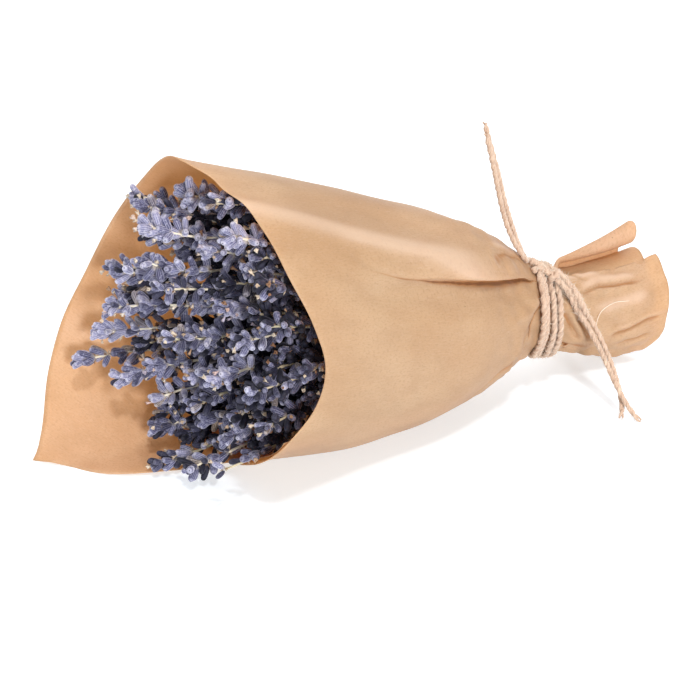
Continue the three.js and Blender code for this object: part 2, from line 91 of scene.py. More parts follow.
# The lining of the gathered end: its first turn, the x it starts at, and where it bulges.
INNER_FIRST, INNER_FROM, INNER_RISE, INNER_TURN, INNER_SPAN = -404, 7, 3.6, -376, 22

# The band: the x of its middle, how far it slants, its turns and how far apart they are.
TIE_X, TIE_SLANT, TIE_TURNS, TIE_PITCH = 6, 8, 4, 2.6
TWINE = 2.3  # diameter in the solids, then those of the band, of an end and of its two plies
BAND_TWINE, END_TWINE, END_PLIES = 2.95, 2.1, 2.35

# Routes of the four loose ends of the twine, from the knot outwards.
UPPER_A = [
    (-6.9, -6.3, 68.1), (-8.8, -6.6, 71.2), (-11.2, -7, 75.8), (-13.4, -7.3, 80.6),
    (-15.6, -7.6, 86), (-17.8, -7.9, 91.6), (-19.8, -8, 97.2), (-21.8, -8.1, 103.2),
    (-23.6, -8.2, 109.2), (-25.4, -8.3, 115.4), (-27.4, -8.4, 121.6), (-29.4, -8.4, 127.6),
    (-31.3, -8.3, 133.6), (-33, -8.2, 139.2), (-33.9, -8.2, 142.4),
]
UPPER_B = [
    (-7.6, -9.1, 68.2), (-10.2, -9.3, 71), (-13.2, -9.6, 75.4), (-16.2, -9.9, 80.4),
    (-19, -10.2, 85.8), (-21.4, -10.4, 91.4), (-23.4, -10.5, 97.2), (-25.2, -10.6, 103.2),
    (-26.8, -10.7, 109.2), (-28.4, -10.8, 115.2), (-30, -10.9, 121.2), (-31.6, -11, 127.2),
    (-33.2, -11, 133), (-34.6, -11, 138.2),
]
LOWER_A = [
    (16.1, -21.7, 42.9), (17.6, -24.2, 40.6), (18.8, -27.4, 37.4), (19.8, -31, 33.4),
    (20.6, -34.6, 29), (21.2, -38.2, 24.6), (21.5, -41.8, 20.2), (21.5, -45.4, 15.8),
    (21.2, -48.8, 11.6), (20.6, -51.8, 7.9), (19.6, -54.4, 4.9), (18.2, -56.6, 2.7),
    (16.4, -58.6, 1.6),
]
LOWER_B = [
    (14.4, -22.8, 41.1), (15.6, -25.6, 38.2), (16.6, -29, 34.6), (17.4, -32.8, 30.6),
    (18, -36.8, 26.8), (18.3, -40.8, 22.8), (18.6, -44.8, 18.8), (18.9, -48.8, 15),
    (19.3, -52.6, 11.4), (20, -56.2, 8), (20.9, -59.6, 5), (21.9, -62.6, 2.8), (23, -65.2, 1.6),
]
# The knot's doubled twine: x, turn, height over the paper.
KNOT_ROUTE = [
    (-5.5, 20, 2.6), (-1.5, 25, 3.6), (2.5, 31, 4.2), (6.5, 38, 4), (10.5, 47, 3.3),
]
# Half the way between its two strands, how many degrees one is ahead for each millimetre of
# that, and the sides of a ply. Then the loop round them: its radius and half its rise.
KNOT_APART, KNOT_SKEW, KNOT_SIDES = 1.25, 2.2, 9
KNOT_LOOP, LOOP_RISE = 2.3, 0.8


# Frame and curves


def to_frame(points):
    """Points in the drawing's frame, in millimetres, as points in the part's frame, in metres."""
    return (np.asarray(points, float) + DRAWN_ORIGIN) * 0.001


def from_frame(points):
    return np.asarray(points, float) * 1000 - DRAWN_ORIGIN


def along(table, x):
    """A smooth curve through a table of (x, value) pairs, level beyond its ends."""
    xs, values = np.array(table, float).T
    steps = np.diff(xs)
    slopes = np.diff(values) / steps
    tangents = np.empty(len(xs))
    tangents[0], tangents[-1] = slopes[0], slopes[-1]
    tangents[1:-1] = slopes[:-1] * steps[1:] + slopes[1:] * steps[:-1]
    tangents[1:-1] /= steps[:-1] + steps[1:]
    x = np.clip(x, xs[0], xs[-1])
    i = np.clip(np.searchsorted(xs, x) - 1, 0, len(steps) - 1)
    t = (x - xs[i]) / steps[i]
    near = (2 * t**3 - 3 * t**2 + 1) * values[i] + (t**3 - 2 * t**2 + t) * steps[i] * tangents[i]
    far = (3 * t**2 - 2 * t**3) * values[i + 1] + (t**3 - t**2) * steps[i] * tangents[i + 1]
    return near + far


def smooth(start, end, x):
    """0 at start and 1 at end, with a smooth rise between."""
    t = np.clip((np.asarray(x, float) - start) / (end - start), 0, 1)
    return t * t * (3 - 2 * t)


def between(rise, top, end, fall, x):
    """1 from top to end and 0 outside rise and fall, with a smooth change between."""
    return smooth(rise, top, x) * (1 - smooth(end, fall, x))


def bell(x, width):
    """1 at x = 0, and hardly more than 0 from twice the width on."""
    return np.exp(-((x / width) ** 2))


def mix(a, b, share):
    return a + (b - a) * share


def unit(v):
    return v / np.linalg.norm(v, axis=-1, keepdims=True)


def reach_of(points):
    """How far along a line of points each of them lies."""
    return np.concatenate([[0], np.cumsum(np.linalg.norm(np.diff(points, axis=0), axis=1))])


def through(route, count):
    """count points evenly along a smooth curve through route's points."""
    route = np.array(route, float)
    reach = reach_of(route)
    fine = np.linspace(0, reach[-1], 8 * count)
    curve = np.stack([along(list(zip(reach, route[:, k])), fine) for k in range(3)], axis=1)
    length = reach_of(curve)
    even = np.linspace(0, length[-1], count)
    return np.stack([np.interp(even, length, curve[:, k]) for k in range(3)], axis=1)


def frames_along(points):
    """Tangents and two steady directions square to them along a line of points."""
    tangents = unit(np.gradient(points, axis=0))
    sides = [unit(np.cross(tangents[0], [0.3, 0.2, 1.0]))]
    for tangent in tangents[1:]:
        sides.append(unit(sides[-1] - tangent * np.dot(sides[-1], tangent)))
    sides = np.array(sides)
    return tangents, sides, np.cross(tangents, sides)


def spoke(angle, side, other):
    """The direction at an angle round a line, from two directions square to the line."""
    return np.cos(angle)[..., None] * side + np.sin(angle)[..., None] * other


# Meshes


def link(name, data):
    """A new object of the scene."""
    made = bpy.data.objects.new(name, data)
    bpy.context.scene.collection.objects.link(made)
    return made


class Build:
    """Points and faces of one piece, gathered from several parts."""

    def __init__(self):
        self.points, self.faces, self.slots, self.marks = [], [], [], []
        self.count = 0

    def add(self, points, faces, slot, marks):
        """faces is a list of arrays of corner numbers, marks four numbers for each point."""
        for group in faces:
            self.faces.append(group + self.count)
            self.slots.append(np.full(len(group), slot))
        self.points.append(points)
        self.marks.append(np.broadcast_to(marks, (len(points), 4)))
        self.count += len(points)

    def piece(self, name, materials, cad_nodes, slot):
        """The finished object, riding on the part's body, in the place of the named nodes."""
        mesh = bpy.data.meshes.new(name)
        points = to_frame(np.concatenate(self.points))
        corners = np.concatenate([group.ravel() for group in self.faces])
        sizes = np.concatenate([np.full(len(group), group.shape[1]) for group in self.faces])
        starts = np.concatenate([[0], np.cumsum(sizes)[:-1]])
        mesh.vertices.add(len(points))
        mesh.vertices.foreach_set("co", points.astype(np.float32).ravel())
        mesh.loops.add(len(corners))
        mesh.loops.foreach_set("vertex_index", corners.astype(np.int32))
        mesh.polygons.add(len(sizes))
        mesh.polygons.foreach_set("loop_start", starts.astype(np.int32))
        mesh.polygons.foreach_set("material_index", np.concatenate(self.slots).astype(np.int32))
        mesh.polygons.foreach_set("use_smooth", np.ones(len(sizes), bool))
        marks = mesh.attributes.new("marks", "FLOAT_COLOR", "POINT")
        marks.data.foreach_set("color", np.concatenate(self.marks).astype(np.float32).ravel())
        mesh.update(calc_edges=True)
        mesh.validate()
        for material in materials:
            mesh.materials.append(material)
        obj = link(name, mesh)
        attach(obj, "root")
        if cad_nodes:
            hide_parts(*cad_nodes)
        return obj


def tube_faces(rings, sides):
    """Faces of a tube of rings, each a run of sides points, capped at both ends."""
    i = np.arange(sides)
    j = (i + 1) % sides
    quads = [
        np.stack([r * sides + i, r * sides + j, (r + 1) * sides + j, (r + 1) * sides + i], 1)
        for r in range(rings - 1)
    ]
    return [np.concatenate(quads), i[::-1][None, :], ((rings - 1) * sides + i)[None, :]]


def tube(points, radii, sides, spin=0.0):
    """Points and faces of a round tube along a line of points."""
    _, side, other = frames_along(points)
    a = np.linspace(0, 2 * np.pi, sides, endpoint=False)[None, :] + np.reshape(spin, (-1, 1))
    radii = np.broadcast_to(np.reshape(radii, (-1, 1)), (len(points), 1))
    shell = points[:, None] + radii[..., None] * spoke(a, side[:, None], other[:, None])
    return shell.reshape(-1, 3), tube_faces(len(points), sides)


# Materials


class Paint:
    """A node material, built one node after another."""

    def __init__(self, name):
        self.material = bpy.data.materials.new(name)
        self.material.use_nodes = True
        self.tree = self.material.node_tree
        self.tree.nodes.clear()
        self.out = self.tree.nodes.new("ShaderNodeOutputMaterial")

    def node(self, kind, settings=None, **inputs):
        made = self.tree.nodes.new("ShaderNode" + kind)
        for key, value in (settings or {}).items():
            setattr(made, key, value)
        for key, value in inputs.items():
            socket = made.inputs[int(key[1:])] if key[1:].isdigit() else made.inputs[
                key.replace("_", " ")]
            if hasattr(value, "links"):
                self.tree.links.new(value, socket)
            else:
                socket.default_value = value
        return made

    def marks(self):
        made = self.node("Attribute", {"attribute_name": "marks"})
        split = self.node("SeparateXYZ", i0=made.outputs["Vector"])
        return made.outputs["Vector"], [*split.outputs, made.outputs["Alpha"]]

    def place(self):
        return self.node("TexCoord").outputs["Object"]

    def stretched(self, vector, stretch):
        made = self.node("VectorMath", {"operation": "MULTIPLY"}, i0=vector, i1=stretch)
        return made.outputs[0]

    def noise(self, vector, scale, detail, roughness):
        made = self.node("TexNoise", Vector=vector, Scale=scale, Detail=detail,
                         Roughness=roughness)
        return made.outputs["Fac"]

    def math(self, operation, a, b=0.0, c=0.0):
        return self.node("Math", {"operation": operation}, i0=a, i1=b, i2=c).outputs[0]

    def level(self, value, low, high, to_low=0.0, to_high=1.0):
        """value from low to high, spread from to_low to to_high."""
        made = self.node("MapRange", {"interpolation_type": "SMOOTHSTEP"}, i0=value, i1=low,
                         i2=high, i3=to_low, i4=to_high)
        return made.outputs[0]

    def blend(self, share, a, b):
        made = self.node("Mix", {"data_type": "RGBA"})
        for socket, value in ((made.inputs[0], share), (made.inputs[6], a), (made.inputs[7], b)):
            if hasattr(value, "links"):
                self.tree.links.new(value, socket)
            elif socket.type == "RGBA":
                socket.default_value = (*value, 1.0)
            else:
                socket.default_value = value
        return made.outputs[2]

    def coats(self, colour, *coats):
        """Coats over a colour: none where a value is at low, share of a shade where at high."""
        for value, low, high, share, shade in coats:
            colour = self.blend(self.level(value, low, high, 0, share), colour, shade)
        return colour

    def ramp(self, value, stops):
        made = self.node("ValToRGB", i0=value)
        ramp = made.color_ramp
        while len(ramp.elements) < len(stops):
            ramp.elements.new(0.5)
        for element, (at, colour) in zip(ramp.elements, stops):
            element.position = at
            element.color = (*colour, 1.0)
        return made.outputs["Color"]

    def bump(self, height, distance, strength):
        made = self.node("Bump", Height=height, Distance=distance, Strength=strength)
        return made.outputs["Normal"]

    def principled(self, **inputs):
        return self.node("BsdfPrincipled", **inputs).outputs[0]

    def finish(self, shader):
        self.tree.links.new(shader, self.out.inputs["Surface"])
        return self.material

    def dry(self, colour, height, depth, strength, roughness, shine, **sheen):
        """Finish as a rough, dry surface, its relief depth metres deep."""
        return self.finish(self.principled(
            Base_Color=colour, Roughness=roughness, Specular_IOR_Level=shine,
            Normal=self.bump(height, depth, strength), **sheen))


# Fibres, grain, streaks, mottling and clouds: the stretch of a noise, its detail and roughness.
KRAFT_NOISES = [
    ((260, 2200, 0), 3, 0.6), ((760, 940, 0), 3, 0.65), ((30, 240, 0), 2, 0.5),
    ((70, 95, 0), 4, 0.6), ((13, 17, 0), 3, 0.55),
]


def kraft_paint():
    """Kraft paper: fine fibres, soft mottling, painted highlights on its ridges and painted shade
    in its creases, and a warm glow through it.
    """
    p = Paint("kraft_paper")
    flat, parts = p.marks()
    painted_light = parts[2]
    fibres, grain, streaks, mottle, clouds = (
        p.noise(p.stretched(flat, stretch), 1.0, detail, roughness)
        for stretch, detail, roughness in KRAFT_NOISES)
    cloud = p.level(clouds, 0.36, 0.64)
    outer = p.blend(cloud, (0.65, 0.44, 0.25), (0.72, 0.525, 0.325))
    inner = p.blend(cloud, (0.66, 0.435, 0.25), (0.73, 0.52, 0.335))
    spots = p.node("TexVoronoi", {"feature": "F1"}, Scale=95.0,
                   Vector=p.stretched(flat, (1, 1, 0)))
    colour = p.coats(
        p.blend(parts[3], outer, inner),
        (mottle, 0.4, 0.7, 0.4, (0.56, 0.36, 0.2)),
        (fibres, 0.45, 0.75, 0.45, (0.8, 0.63, 0.46)),
        (grain, 0.48, 0.68, 0.5, (0.49, 0.3, 0.17)),
        (streaks, 0.5, 0.8, 0.1, (0.52, 0.33, 0.18)),
        # Painted highlight on ridges and on the step's edge, then painted shade in creases, under
        # tucks and beside the step, darkest in its core line.
        (painted_light, 0.02, 0.7, 0.5, (0.95, 0.8, 0.65)),
        (painted_light, -0.06, -0.8, 0.8, (0.55, 0.26, 0.09)),
        (painted_light, -0.7, -1.0, 0.75, (0.2, 0.075, 0.025)),
        (spots.outputs["Distance"], 0.035, 0.02, 0.7, (0.2, 0.12, 0.07)))
    height = p.math("MULTIPLY_ADD", mottle, 0.6, p.math("ADD", fibres, grain))
    normal = p.bump(height, 0.00006, 0.7)
    front = p.principled(
        Base_Color=colour, Roughness=0.42, Normal=normal, Specular_IOR_Level=0.5,
        Sheen_Weight=0.15, Sheen_Roughness=0.35, Sheen_Tint=(1.0, 0.97, 0.94, 1.0))
    glow = p.blend(0.65, colour, (1.0, 0.63, 0.3))
    through = p.node("BsdfTranslucent", Color=glow)
    both = p.node("MixShader", i0=0.45, i1=front, i2=through.outputs[0])
    return p.finish(both.outputs[0])


CALYX_RIBS = 11


def calyx_paint():
    """A dried calyx: downy, ribbed, lilac grey, straw at its foot and pale at its rim, with painted
    shade in its mouth and its darkest colours for heads painted into shade.
    """
    p = Paint("lavender_calyx")
    _, (along_it, seed, across, up) = p.marks()
    angle = p.math("ARCTAN2", across, up)
    rib = p.math("COSINE", p.math("MULTIPLY", angle, CALYX_RIBS))
    place = p.place()
    down = p.noise(place, 1300.0, 3, 0.65)
    patches = p.noise(place, 420.0, 2, 0.5)
    # Colours by seed, from dark to light lilac grey, then old brown calyces. The darkest serve
    # random dark calyces and, beside them, the painted shade of heads deep in the bunch and under
    # the near side.
    body = p.ramp(seed, [
        (0.0, (0.006, 0.006, 0.011)), (0.25, (0.015, 0.0145, 0.031)), (0.5, (0.058, 0.058, 0.124)),
        (0.7, (0.13, 0.13, 0.252)), (0.87, (0.29, 0.285, 0.45)), (0.92, (0.16, 0.13, 0.12)),
        (1.0, (0.25, 0.17, 0.1)),
    ])
    down_colour = p.ramp(seed, [
        (0.0, (0.012, 0.012, 0.02)), (0.25, (0.1, 0.098, 0.15)), (0.5, (0.42, 0.41, 0.55)),
        (0.8, (0.78, 0.77, 0.9)), (1.0, (0.6, 0.5, 0.45)),
    ])
    body = p.coats(body, (patches, 0.35, 0.7, 0.3, (0.06, 0.056, 0.12)))
    ribs = p.math("MULTIPLY", p.level(rib, 0.3, 1.0), p.level(along_it, 0.9, 0.45, 0.25, 0.55))
    body = p.coats(
        p.blend(ribs, body, down_colour),
        (rib, -0.2, -1.0, 0.35, (0.02, 0.02, 0.05)), (down, 0.52, 0.66, 0.55, down_colour))
    foot = p.math("MULTIPLY", p.level(along_it, 0.3, 0.0, 0, 0.75), p.level(seed, 0.2, 0.6))
    # Straw at the foot, pale down at the rim, and the mouth painted dark as painted shade.
    body = p.coats(
        p.blend(foot, body, (0.6, 0.52, 0.42)),
        (along_it, 0.86, 1.0, 0.5, down_colour), (along_it, 1.02, 1.12, 0.6, (0.05, 0.04, 0.06)))
    normal = p.bump(p.math("MULTIPLY_ADD", rib, 0.3, down), 0.0001, 0.7)
    skin = p.principled(
        Base_Color=body, Roughness=0.6, Normal=normal, Specular_IOR_Level=0.3,
        Sheen_Weight=0.4, Sheen_Roughness=0.32, Sheen_Tint=(0.95, 0.92, 1.0, 1.0))
    hair = p.node("BsdfDiffuse", Color=down_colour, Roughness=0.8)
    rim = p.node("LayerWeight", Blend=0.5)
    sheen = p.level(rim.outputs["Facing"], 0.5, 0.95, 0, 0.85)
    both = p.node("MixShader", i0=sheen, i1=skin, i2=hair.outputs[0])
    return p.finish(both.outputs[0])


def straw_paint():
    """Dried stalk: straw to grey green, with pale specks and darker scars."""
    p = Paint("lavender_stalk")
    seed = p.marks()[1][1]
    place = p.place()
    blot = p.noise(place, 300.0, 3, 0.6)
    fine = p.noise(place, 1800.0, 2, 0.6)
    # Colours by seed. Beside random differences, the dark end is the painted shade of rachises in
    # shaded heads and of stalks inside the bunch.
    body = p.ramp(seed, [
        (0.0, (0.06, 0.048, 0.03)), (0.3, (0.3, 0.25, 0.15)), (0.5, (0.72, 0.6, 0.42)),
        (0.62, (0.52, 0.47, 0.32)), (0.8, (0.9, 0.8, 0.62)), (1.0, (0.92, 0.84, 0.68)),
    ])
    body = p.coats(
        body, (blot, 0.45, 0.75, 0.4, (0.34, 0.24, 0.14)), (fine, 0.5, 0.8, 0.4, (0.78, 0.7, 0.52)))
    return p.dry(body, fine, 0.0001, 0.6, 0.6, 0.3)


def bract_paint():
    """Dry scraps on the head: rusty bracts, cream nodes and the crumbs of withered petals."""
    p = Paint("lavender_bract")
    seed = p.marks()[1][1]
    fine = p.noise(p.place(), 1500.0, 3, 0.6)
    # Colours by seed. Beside random differences, the dark end is the painted shade of scraps in
    # shaded heads.
    body = p.ramp(seed, [
        (0.0, (0.05, 0.025, 0.018)), (0.15, (0.28, 0.13, 0.07)), (0.3, (0.42, 0.27, 0.17)),
        (0.42, (0.66, 0.54, 0.41)), (0.8, (0.8, 0.72, 0.6)), (0.92, (0.66, 0.47, 0.42)),
        (1.0, (0.48, 0.44, 0.56)),
    ])
    body = p.coats(body, (fine, 0.4, 0.65, 0.6, (0.36, 0.22, 0.14)))
    return p.dry(body, fine, 0.00015, 0.7, 0.7, 0.25)


def jute_paint():
    """Jute twine: pale brown fibres along each ply, lighter hairs."""
    p = Paint("jute_twine")
    flat, parts = p.marks()
    hair = parts[2]
    fibres = p.noise(p.stretched(flat, (1500, 150, 0)), 1.0, 3, 0.65)
    blot = p.noise(p.place(), 260.0, 2, 0.5)
    body = p.blend(p.level(fibres, 0.3, 0.7), (0.48, 0.315, 0.225), (0.76, 0.565, 0.425))
    body = p.coats(body, (blot, 0.4, 0.7, 0.35, (0.56, 0.38, 0.285)))
    body = p.blend(hair, body, (0.86, 0.74, 0.6))
    return p.dry(body, fibres, 0.0002, 0.8, 0.8, 0.2, Sheen_Weight=0.5, Sheen_Roughness=0.5,
                 Sheen_Tint=(1.0, 0.93, 0.85, 1.0))


def floor_paint():
    p = Paint("white_floor")
    return p.finish(p.principled(
        Base_Color=(0.63, 0.68, 0.73, 1.0), Roughness=0.9, Specular_IOR_Level=0.1,
        Emission_Color=(1.0, 1.0, 1.0, 1.0), Emission_Strength=FLOOR_GLOW))


# Camera, light and floor

TARGET = np.array([-97, 0, 40])
AZIMUTH, ELEVATION, DISTANCE = math.radians(28.5), math.radians(30), 800
FOCAL_PIXELS, FRAME_PIXELS, SENSOR = 1745, 700, 36

WORLD_LIGHT, FLOOR_GLOW, FLOOR_REACH = 0.36, 0.47, 4.0
# Name, strength, spread in degrees, colour, and the direction towards it.
LIGHTS = [
    ("key", 1.1, 6, (1.0, 0.98, 0.95), (-0.1, -0.4, 0.91)),
    ("softbox", 2.1, 90, (1.0, 1.0, 1.0), (0.2, 0.45, 0.87)),
    ("back", 0.5, 50, (1.0, 0.97, 0.92), (-0.5, 0.72, 0.48)),
    ("fill", 2.15, 12, (0.98, 0.99, 1.0), (-0.12, -0.95, 0.3)),
]


def place_camera():
    back = np.array([
        -math.sin(AZIMUTH) * math.cos(ELEVATION), -math.cos(AZIMUTH) * math.cos(ELEVATION),
        math.sin(ELEVATION),
    ])
    data = bpy.data.cameras.new("camera")
    data.sensor_width = SENSOR
    data.lens = SENSOR * FOCAL_PIXELS / FRAME_PIXELS
    camera = link("camera", data)
    camera.location = to_frame(TARGET + back * DISTANCE)
    camera.rotation_euler = (math.pi / 2 - ELEVATION, 0, -AZIMUTH)
    bpy.context.scene.camera = camera


def place_light():
    world = bpy.data.worlds.new("studio")
    world.use_nodes = True
    background = world.node_tree.nodes["Background"]
    background.inputs[0].default_value = (1.0, 1.0, 1.0, 1.0)
    background.inputs[1].default_value = WORLD_LIGHT
    bpy.context.scene.world = world
    for name, energy, spread, colour, towards in LIGHTS:
        data = bpy.data.lights.new(name, "SUN")
        data.energy = energy
        data.color = colour
        data.angle = math.radians(spread)
        towards = unit(np.array(towards))
        turn = math.atan2(towards[1], towards[0]) + math.pi / 2
        link(name, data).rotation_euler = (math.acos(towards[2]), 0, turn)
    bpy.context.scene.view_settings.view_transform = "Standard"


def place_floor():
    mesh = bpy.data.meshes.new("floor")
    corners = [(-1, -1, 0), (1, -1, 0), (1, 1, 0), (-1, 1, 0)]
    mesh.from_pydata(np.multiply(corners, FLOOR_REACH).tolist(), [], [(0, 1, 2, 3)])
    mesh.materials.append(floor_paint())
    floor = link("floor", mesh)


place_camera()
place_light()
place_floor()


# Twine

PLY_OFF, PLY_RADIUS = 0.155, 0.4  # of a ply, as shares of the twine's diameter
END_TWIST, BAND_TWIST, KNOT_TWIST, LOOP_TWIST = 8.5, 9.5, 9.0, 8.0  # length of one twist
END_FRAY, KNOT_FRAY = 5.0, 4  # length over which the plies come apart
END_STEPS, BAND_STEPS, KNOT_STEPS, LOOP_STEPS = 110, 640, 60, 50  # points along a line
# Loose fibres: how many, and the longest.
END_HAIRS, BAND_HAIRS, ROUTE_HAIRS, KNOT_HAIRS = (260, 1.1), (1500, 2.2), (240, 2.6), (220, 2.6)
HAIR_THICK, HAIR_THIN, HAIR_STEPS = 0.11, 0.045, 4


def strand(build, points, diameter, twist, sides=8, fray=0.0, phase=0.0):
    """Two plies twisted round a line of points. The marks hold their flat map."""
    _, side, other = frames_along(points)
    reach = reach_of(points)
    apart = np.clip((reach - reach[-1] + fray) / fray, 0, 1) if fray else 0 * reach
    off = diameter * (PLY_OFF + 0.2 * apart)
    around = np.tile(np.linspace(0, 1, sides, endpoint=False), len(points))
    for ply in (0, 1):
        angle = 2 * np.pi * (reach / twist + 0.12 * np.sin(reach / 9 + phase)) + ply * np.pi + phase
        centre = points + spoke(angle, side, other) * off[:, None]
        lumps = 1 + 0.07 * np.sin(reach * 1.3 + ply * 2 + phase) + 0.05 * np.sin(reach * 3.1 + ply)
        radii = diameter * PLY_RADIUS * lumps * (1 - 0.55 * apart)
        shell, faces = tube(centre, radii, sides, spin=angle)
        marks = np.zeros((len(shell), 4))
        marks[:, 0] = 0.0022 * np.abs(around * 2 - 1) + 0.01 * ply
        marks[:, 1] = np.repeat(reach, sides) * 0.001 + 0.002 * around
        build.add(shell, faces, 0, marks)


def hairs(build, points, diameter, count, longest, draw):
    """Loose fibres that stand off a line of twine."""
    tangents, side, other = frames_along(points)
    t = np.linspace(0, 1, HAIR_STEPS)[:, None]
    radii = np.linspace(HAIR_THICK, HAIR_THIN, HAIR_STEPS)
    for _ in range(count):
        i = int(draw.integers(1, len(points) - 1))
        out = spoke(draw.uniform(0, 2 * np.pi), side[i], other[i])
        sweep = tangents[i] * draw.normal(0, 1.1) + np.cross(tangents[i], out) * draw.normal(0, 0.8)
        length = longest * draw.uniform(0.3, 1.0)
        start = points[i] + out * diameter * 0.45
        bend = draw.normal(0, 0.35, 3)
        line = start + length * (t * unit(out * 0.7 + sweep) + t**2 * bend)
        shell, faces = tube(line, radii, 3)
        build.add(shell, faces, 0, (0, 0, draw.uniform(0.4, 1.0), 0))


def loose_end(name, node, route, seed):
    points = through(route, END_STEPS)
    build = Build()
    strand(build, points, END_PLIES, END_TWIST, fray=END_FRAY, phase=seed)
    hairs(build, points, END_TWINE, *END_HAIRS, np.random.default_rng(seed))
    piece = build.piece(name, [JUTE], [node], "jute_twine")


JUTE = jute_paint()
loose_end("twine_upper_left", "twine_end_upper_b", UPPER_B, 1)
loose_end("twine_upper_right", "twine_end_upper_a", UPPER_A, 2)
loose_end("twine_lower_left", "twine_end_lower_b", LOWER_B, 3)
loose_end("twine_lower_right", "twine_end_lower_a", LOWER_A, 4)


# Paper

# Tucks: a line as (x, turn), how deep it is tucked at each x, and the span beside the line.
TUCKS = [
    # The long overlapping fold on the near side.
    ([(-118, 47), (-105, 48), (-92, 50), (-74, 49), (-51, 48.5), (-34, 46.5), (-16, 42.5),
      (-6, 41)],
     [(-112, 0), (-98, 1.8), (-82, 3.2), (-66, 4.6), (-50, 6.2), (-36, 7.2), (-24, 6.6),
      (-10, 3.6), (2, 0)], 9),
    # At the foot of the gathered end, by the twine.
    ([(6, 122), (12, 125), (18, 123), (24, 117), (30, 112), (38, 108)],
     [(8, 0), (14, 4.2), (24, 5.2), (32, 3), (42, 0)], 5),
]

# Creases as (route of (x, turn) points, width, height): a height below 0 is a groove.
CREASES = [
    ([(-200, 19), (-158, 24), (-132, 28), (-114, 32), (-94, 35), (-71, 37), (-46, 41),
      (-24, 42)], 7.0, 2.6),
    ([(-122, 33), (-99, 35), (-80, 37), (-69, 38.5), (-60, 41), (-46, 45)], 2.1, 0.5),
    ([(-190, 8), (-129, 14), (-91, 17), (-72, 21), (-40, 27)], 7.0, -1.0),
    ([(-135, 60), (-97, 57), (-76, 57), (-54, 58), (-40, 57), (-14, 50)], 7.0, -2.5),
    ([(-118, 42), (-104, 47), (-92, 50)], 2.6, -0.6),
    ([(-25, 28.3), (-27.5, 29.7), (-32.5, 33), (-38, 36.5)], 0.9, -1.6),
    ([(-21, 29.5), (-26, 33), (-31, 37)], 1.5, 1.1),
    ([(-29, 31), (-21, 25.5), (-16, 22), (-9, 23)], 1.0, -1.8),
    ([(-35, 25), (-26, 22), (-12, 18)], 2.2, 0.8),
    ([(-26, 104), (-20, 90), (-13, 76)], 1.0, -1.3),
    ([(-34, 84), (-24, 80), (-13, 76)], 1.6, 0.9),
    ([(18, 46), (26.5, 33.5), (35, 28), (41, 31), (48, 32), (62, 34)], 1.1, -1.9),
    ([(18, 37), (27, 27.5), (36, 21), (46, 23), (60, 27)], 3.0, 1.7),
    ([(18, 3), (24, 12), (29, 23)], 1.0, -1.0),
    ([(15, 33), (24, 26)], 1.0, -0.9),
    ([(12, 16), (24, 13), (40, 11)], 2.2, 0.8),
    ([(30, 99), (45, 90.5), (53.5, 83.5), (67, 81)], 1.2, -1.6),
    ([(29, 94), (40, 86), (48.5, 79), (59.5, 77), (70, 78)], 1.8, 1.2),
    ([(38, 118), (49, 108), (60, 102)], 1.2, -1.5),
    ([(7, 64), (11.5, 86), (16, 108)], 1.6, -2.2),
    ([(14, 70), (18.5, 89), (22.5, 107)], 1.6, -2.0),
    ([(11.5, 66), (14.8, 86), (19, 106)], 1.7, 1.1),
    ([(18, 72), (22.5, 89), (26.5, 104)], 1.8, 0.8),
    ([(5, 122), (10.5, 117), (20.5, 111), (30, 105)], 1.1, -1.8),
    ([(22, 62), (40, 55), (62, 51)], 4.0, 0.7),
    ([(-12, 110), (-18, 112), (-27.5, 115), (-37.5, 120), (-44.5, 129), (-56, 140)], 1.2, -1.3),
]
# Where a tuck's lower side comes out from under its upper side, by the tuck's depth: both as
# shares of its span.
TUCK_SHOWS = [(0.31, 0), (0.356, 0.3), (0.511, 0.6), (0.667, 0.735), (0.8, 0.811), (1.04, 0.9)]
PAINTED_LINE_WIDEST = 2  # a groove wider than this has no painted shade line
RIDGE_HIGHLIGHT_WIDTH, GROOVE_SHADE_WIDTH = 0.75, 0.8  # widths of the painted highlight and the painted shade line, as shares of a crease's width
HIGHLIGHT_WIDE, HIGHLIGHT_NARROW = 0.6, 0.22  # how pale the painted highlight on a wide and on a narrow ridge is
GROOVE_DARK, GROOVE_DARKEST = 0.45, -0.75  # how dark the painted shade in a groove is for each millimetre of height, and its darkest
TUCK_LINE, TUCK_SHADE, SHADE_SHARE = 0.5, 1.5, 0.3  # widths of the painted dark line and the painted shade under a tuck, and the shade's share
# The edge of the layer that ends at the twine below the fold: turn and x, with the step there.
STEP_LINE = [(60, -9), (71, -10.5), (77, -14.5), (88, -18.5), (101, -21), (109, -24),
             (122, -28), (134, -30)]
STEP_HEIGHT, STEP_SPAN = 2.4, 12
STEP_MARKS = [(1.7, 1.1, -1.1), (-1.3, 0.9, 0.3)]  # its painted shadow and the painted highlight on its edge: x, width, share
# Waves of sharp small folds: waves a millimetre along x and along the girth, and the phase.
FACETS = [(0.051, 0.047, 0.1), (0.067, -0.043, 0.4), (0.023, 0.089, 0.7), (0.112, 0.031, 0.2)]
FACET_DEPTH = 0.55

# The sheet's grid: x where the waist's close rows start and end, the rows of cone, waist and end.
WAIST_START, WAIST_END = -60, 36
CONE_ROWS, WAIST_ROWS, END_ROWS, LINING_ROWS = 57, 89, 24, 26
FOLD_COLUMNS, GATHER_COLUMNS = (34, 66, 0.6), (112, 134, 1.0)  # first turn, limit and step
# Unrolled, the cone is a fan: the x of its centre, metres for a millimetre of x, the turn in its
# middle, and its angle as a share of the turn.
FAN_CENTRE, FAN_SCALE, FAN_TURN, FAN_SHARE = 150, 0.00104, 72, 0.26


def section(x):
    """The cone's half width, half height and middle height."""
    top, low = along(TOP, x), along(UNDERSIDE, x)
    return along(HALF_WIDTH, x), (top - low) / 2, (top + low) / 2


def tie_x(turn):
    return TIE_X - TIE_SLANT * np.sin(np.radians(turn))


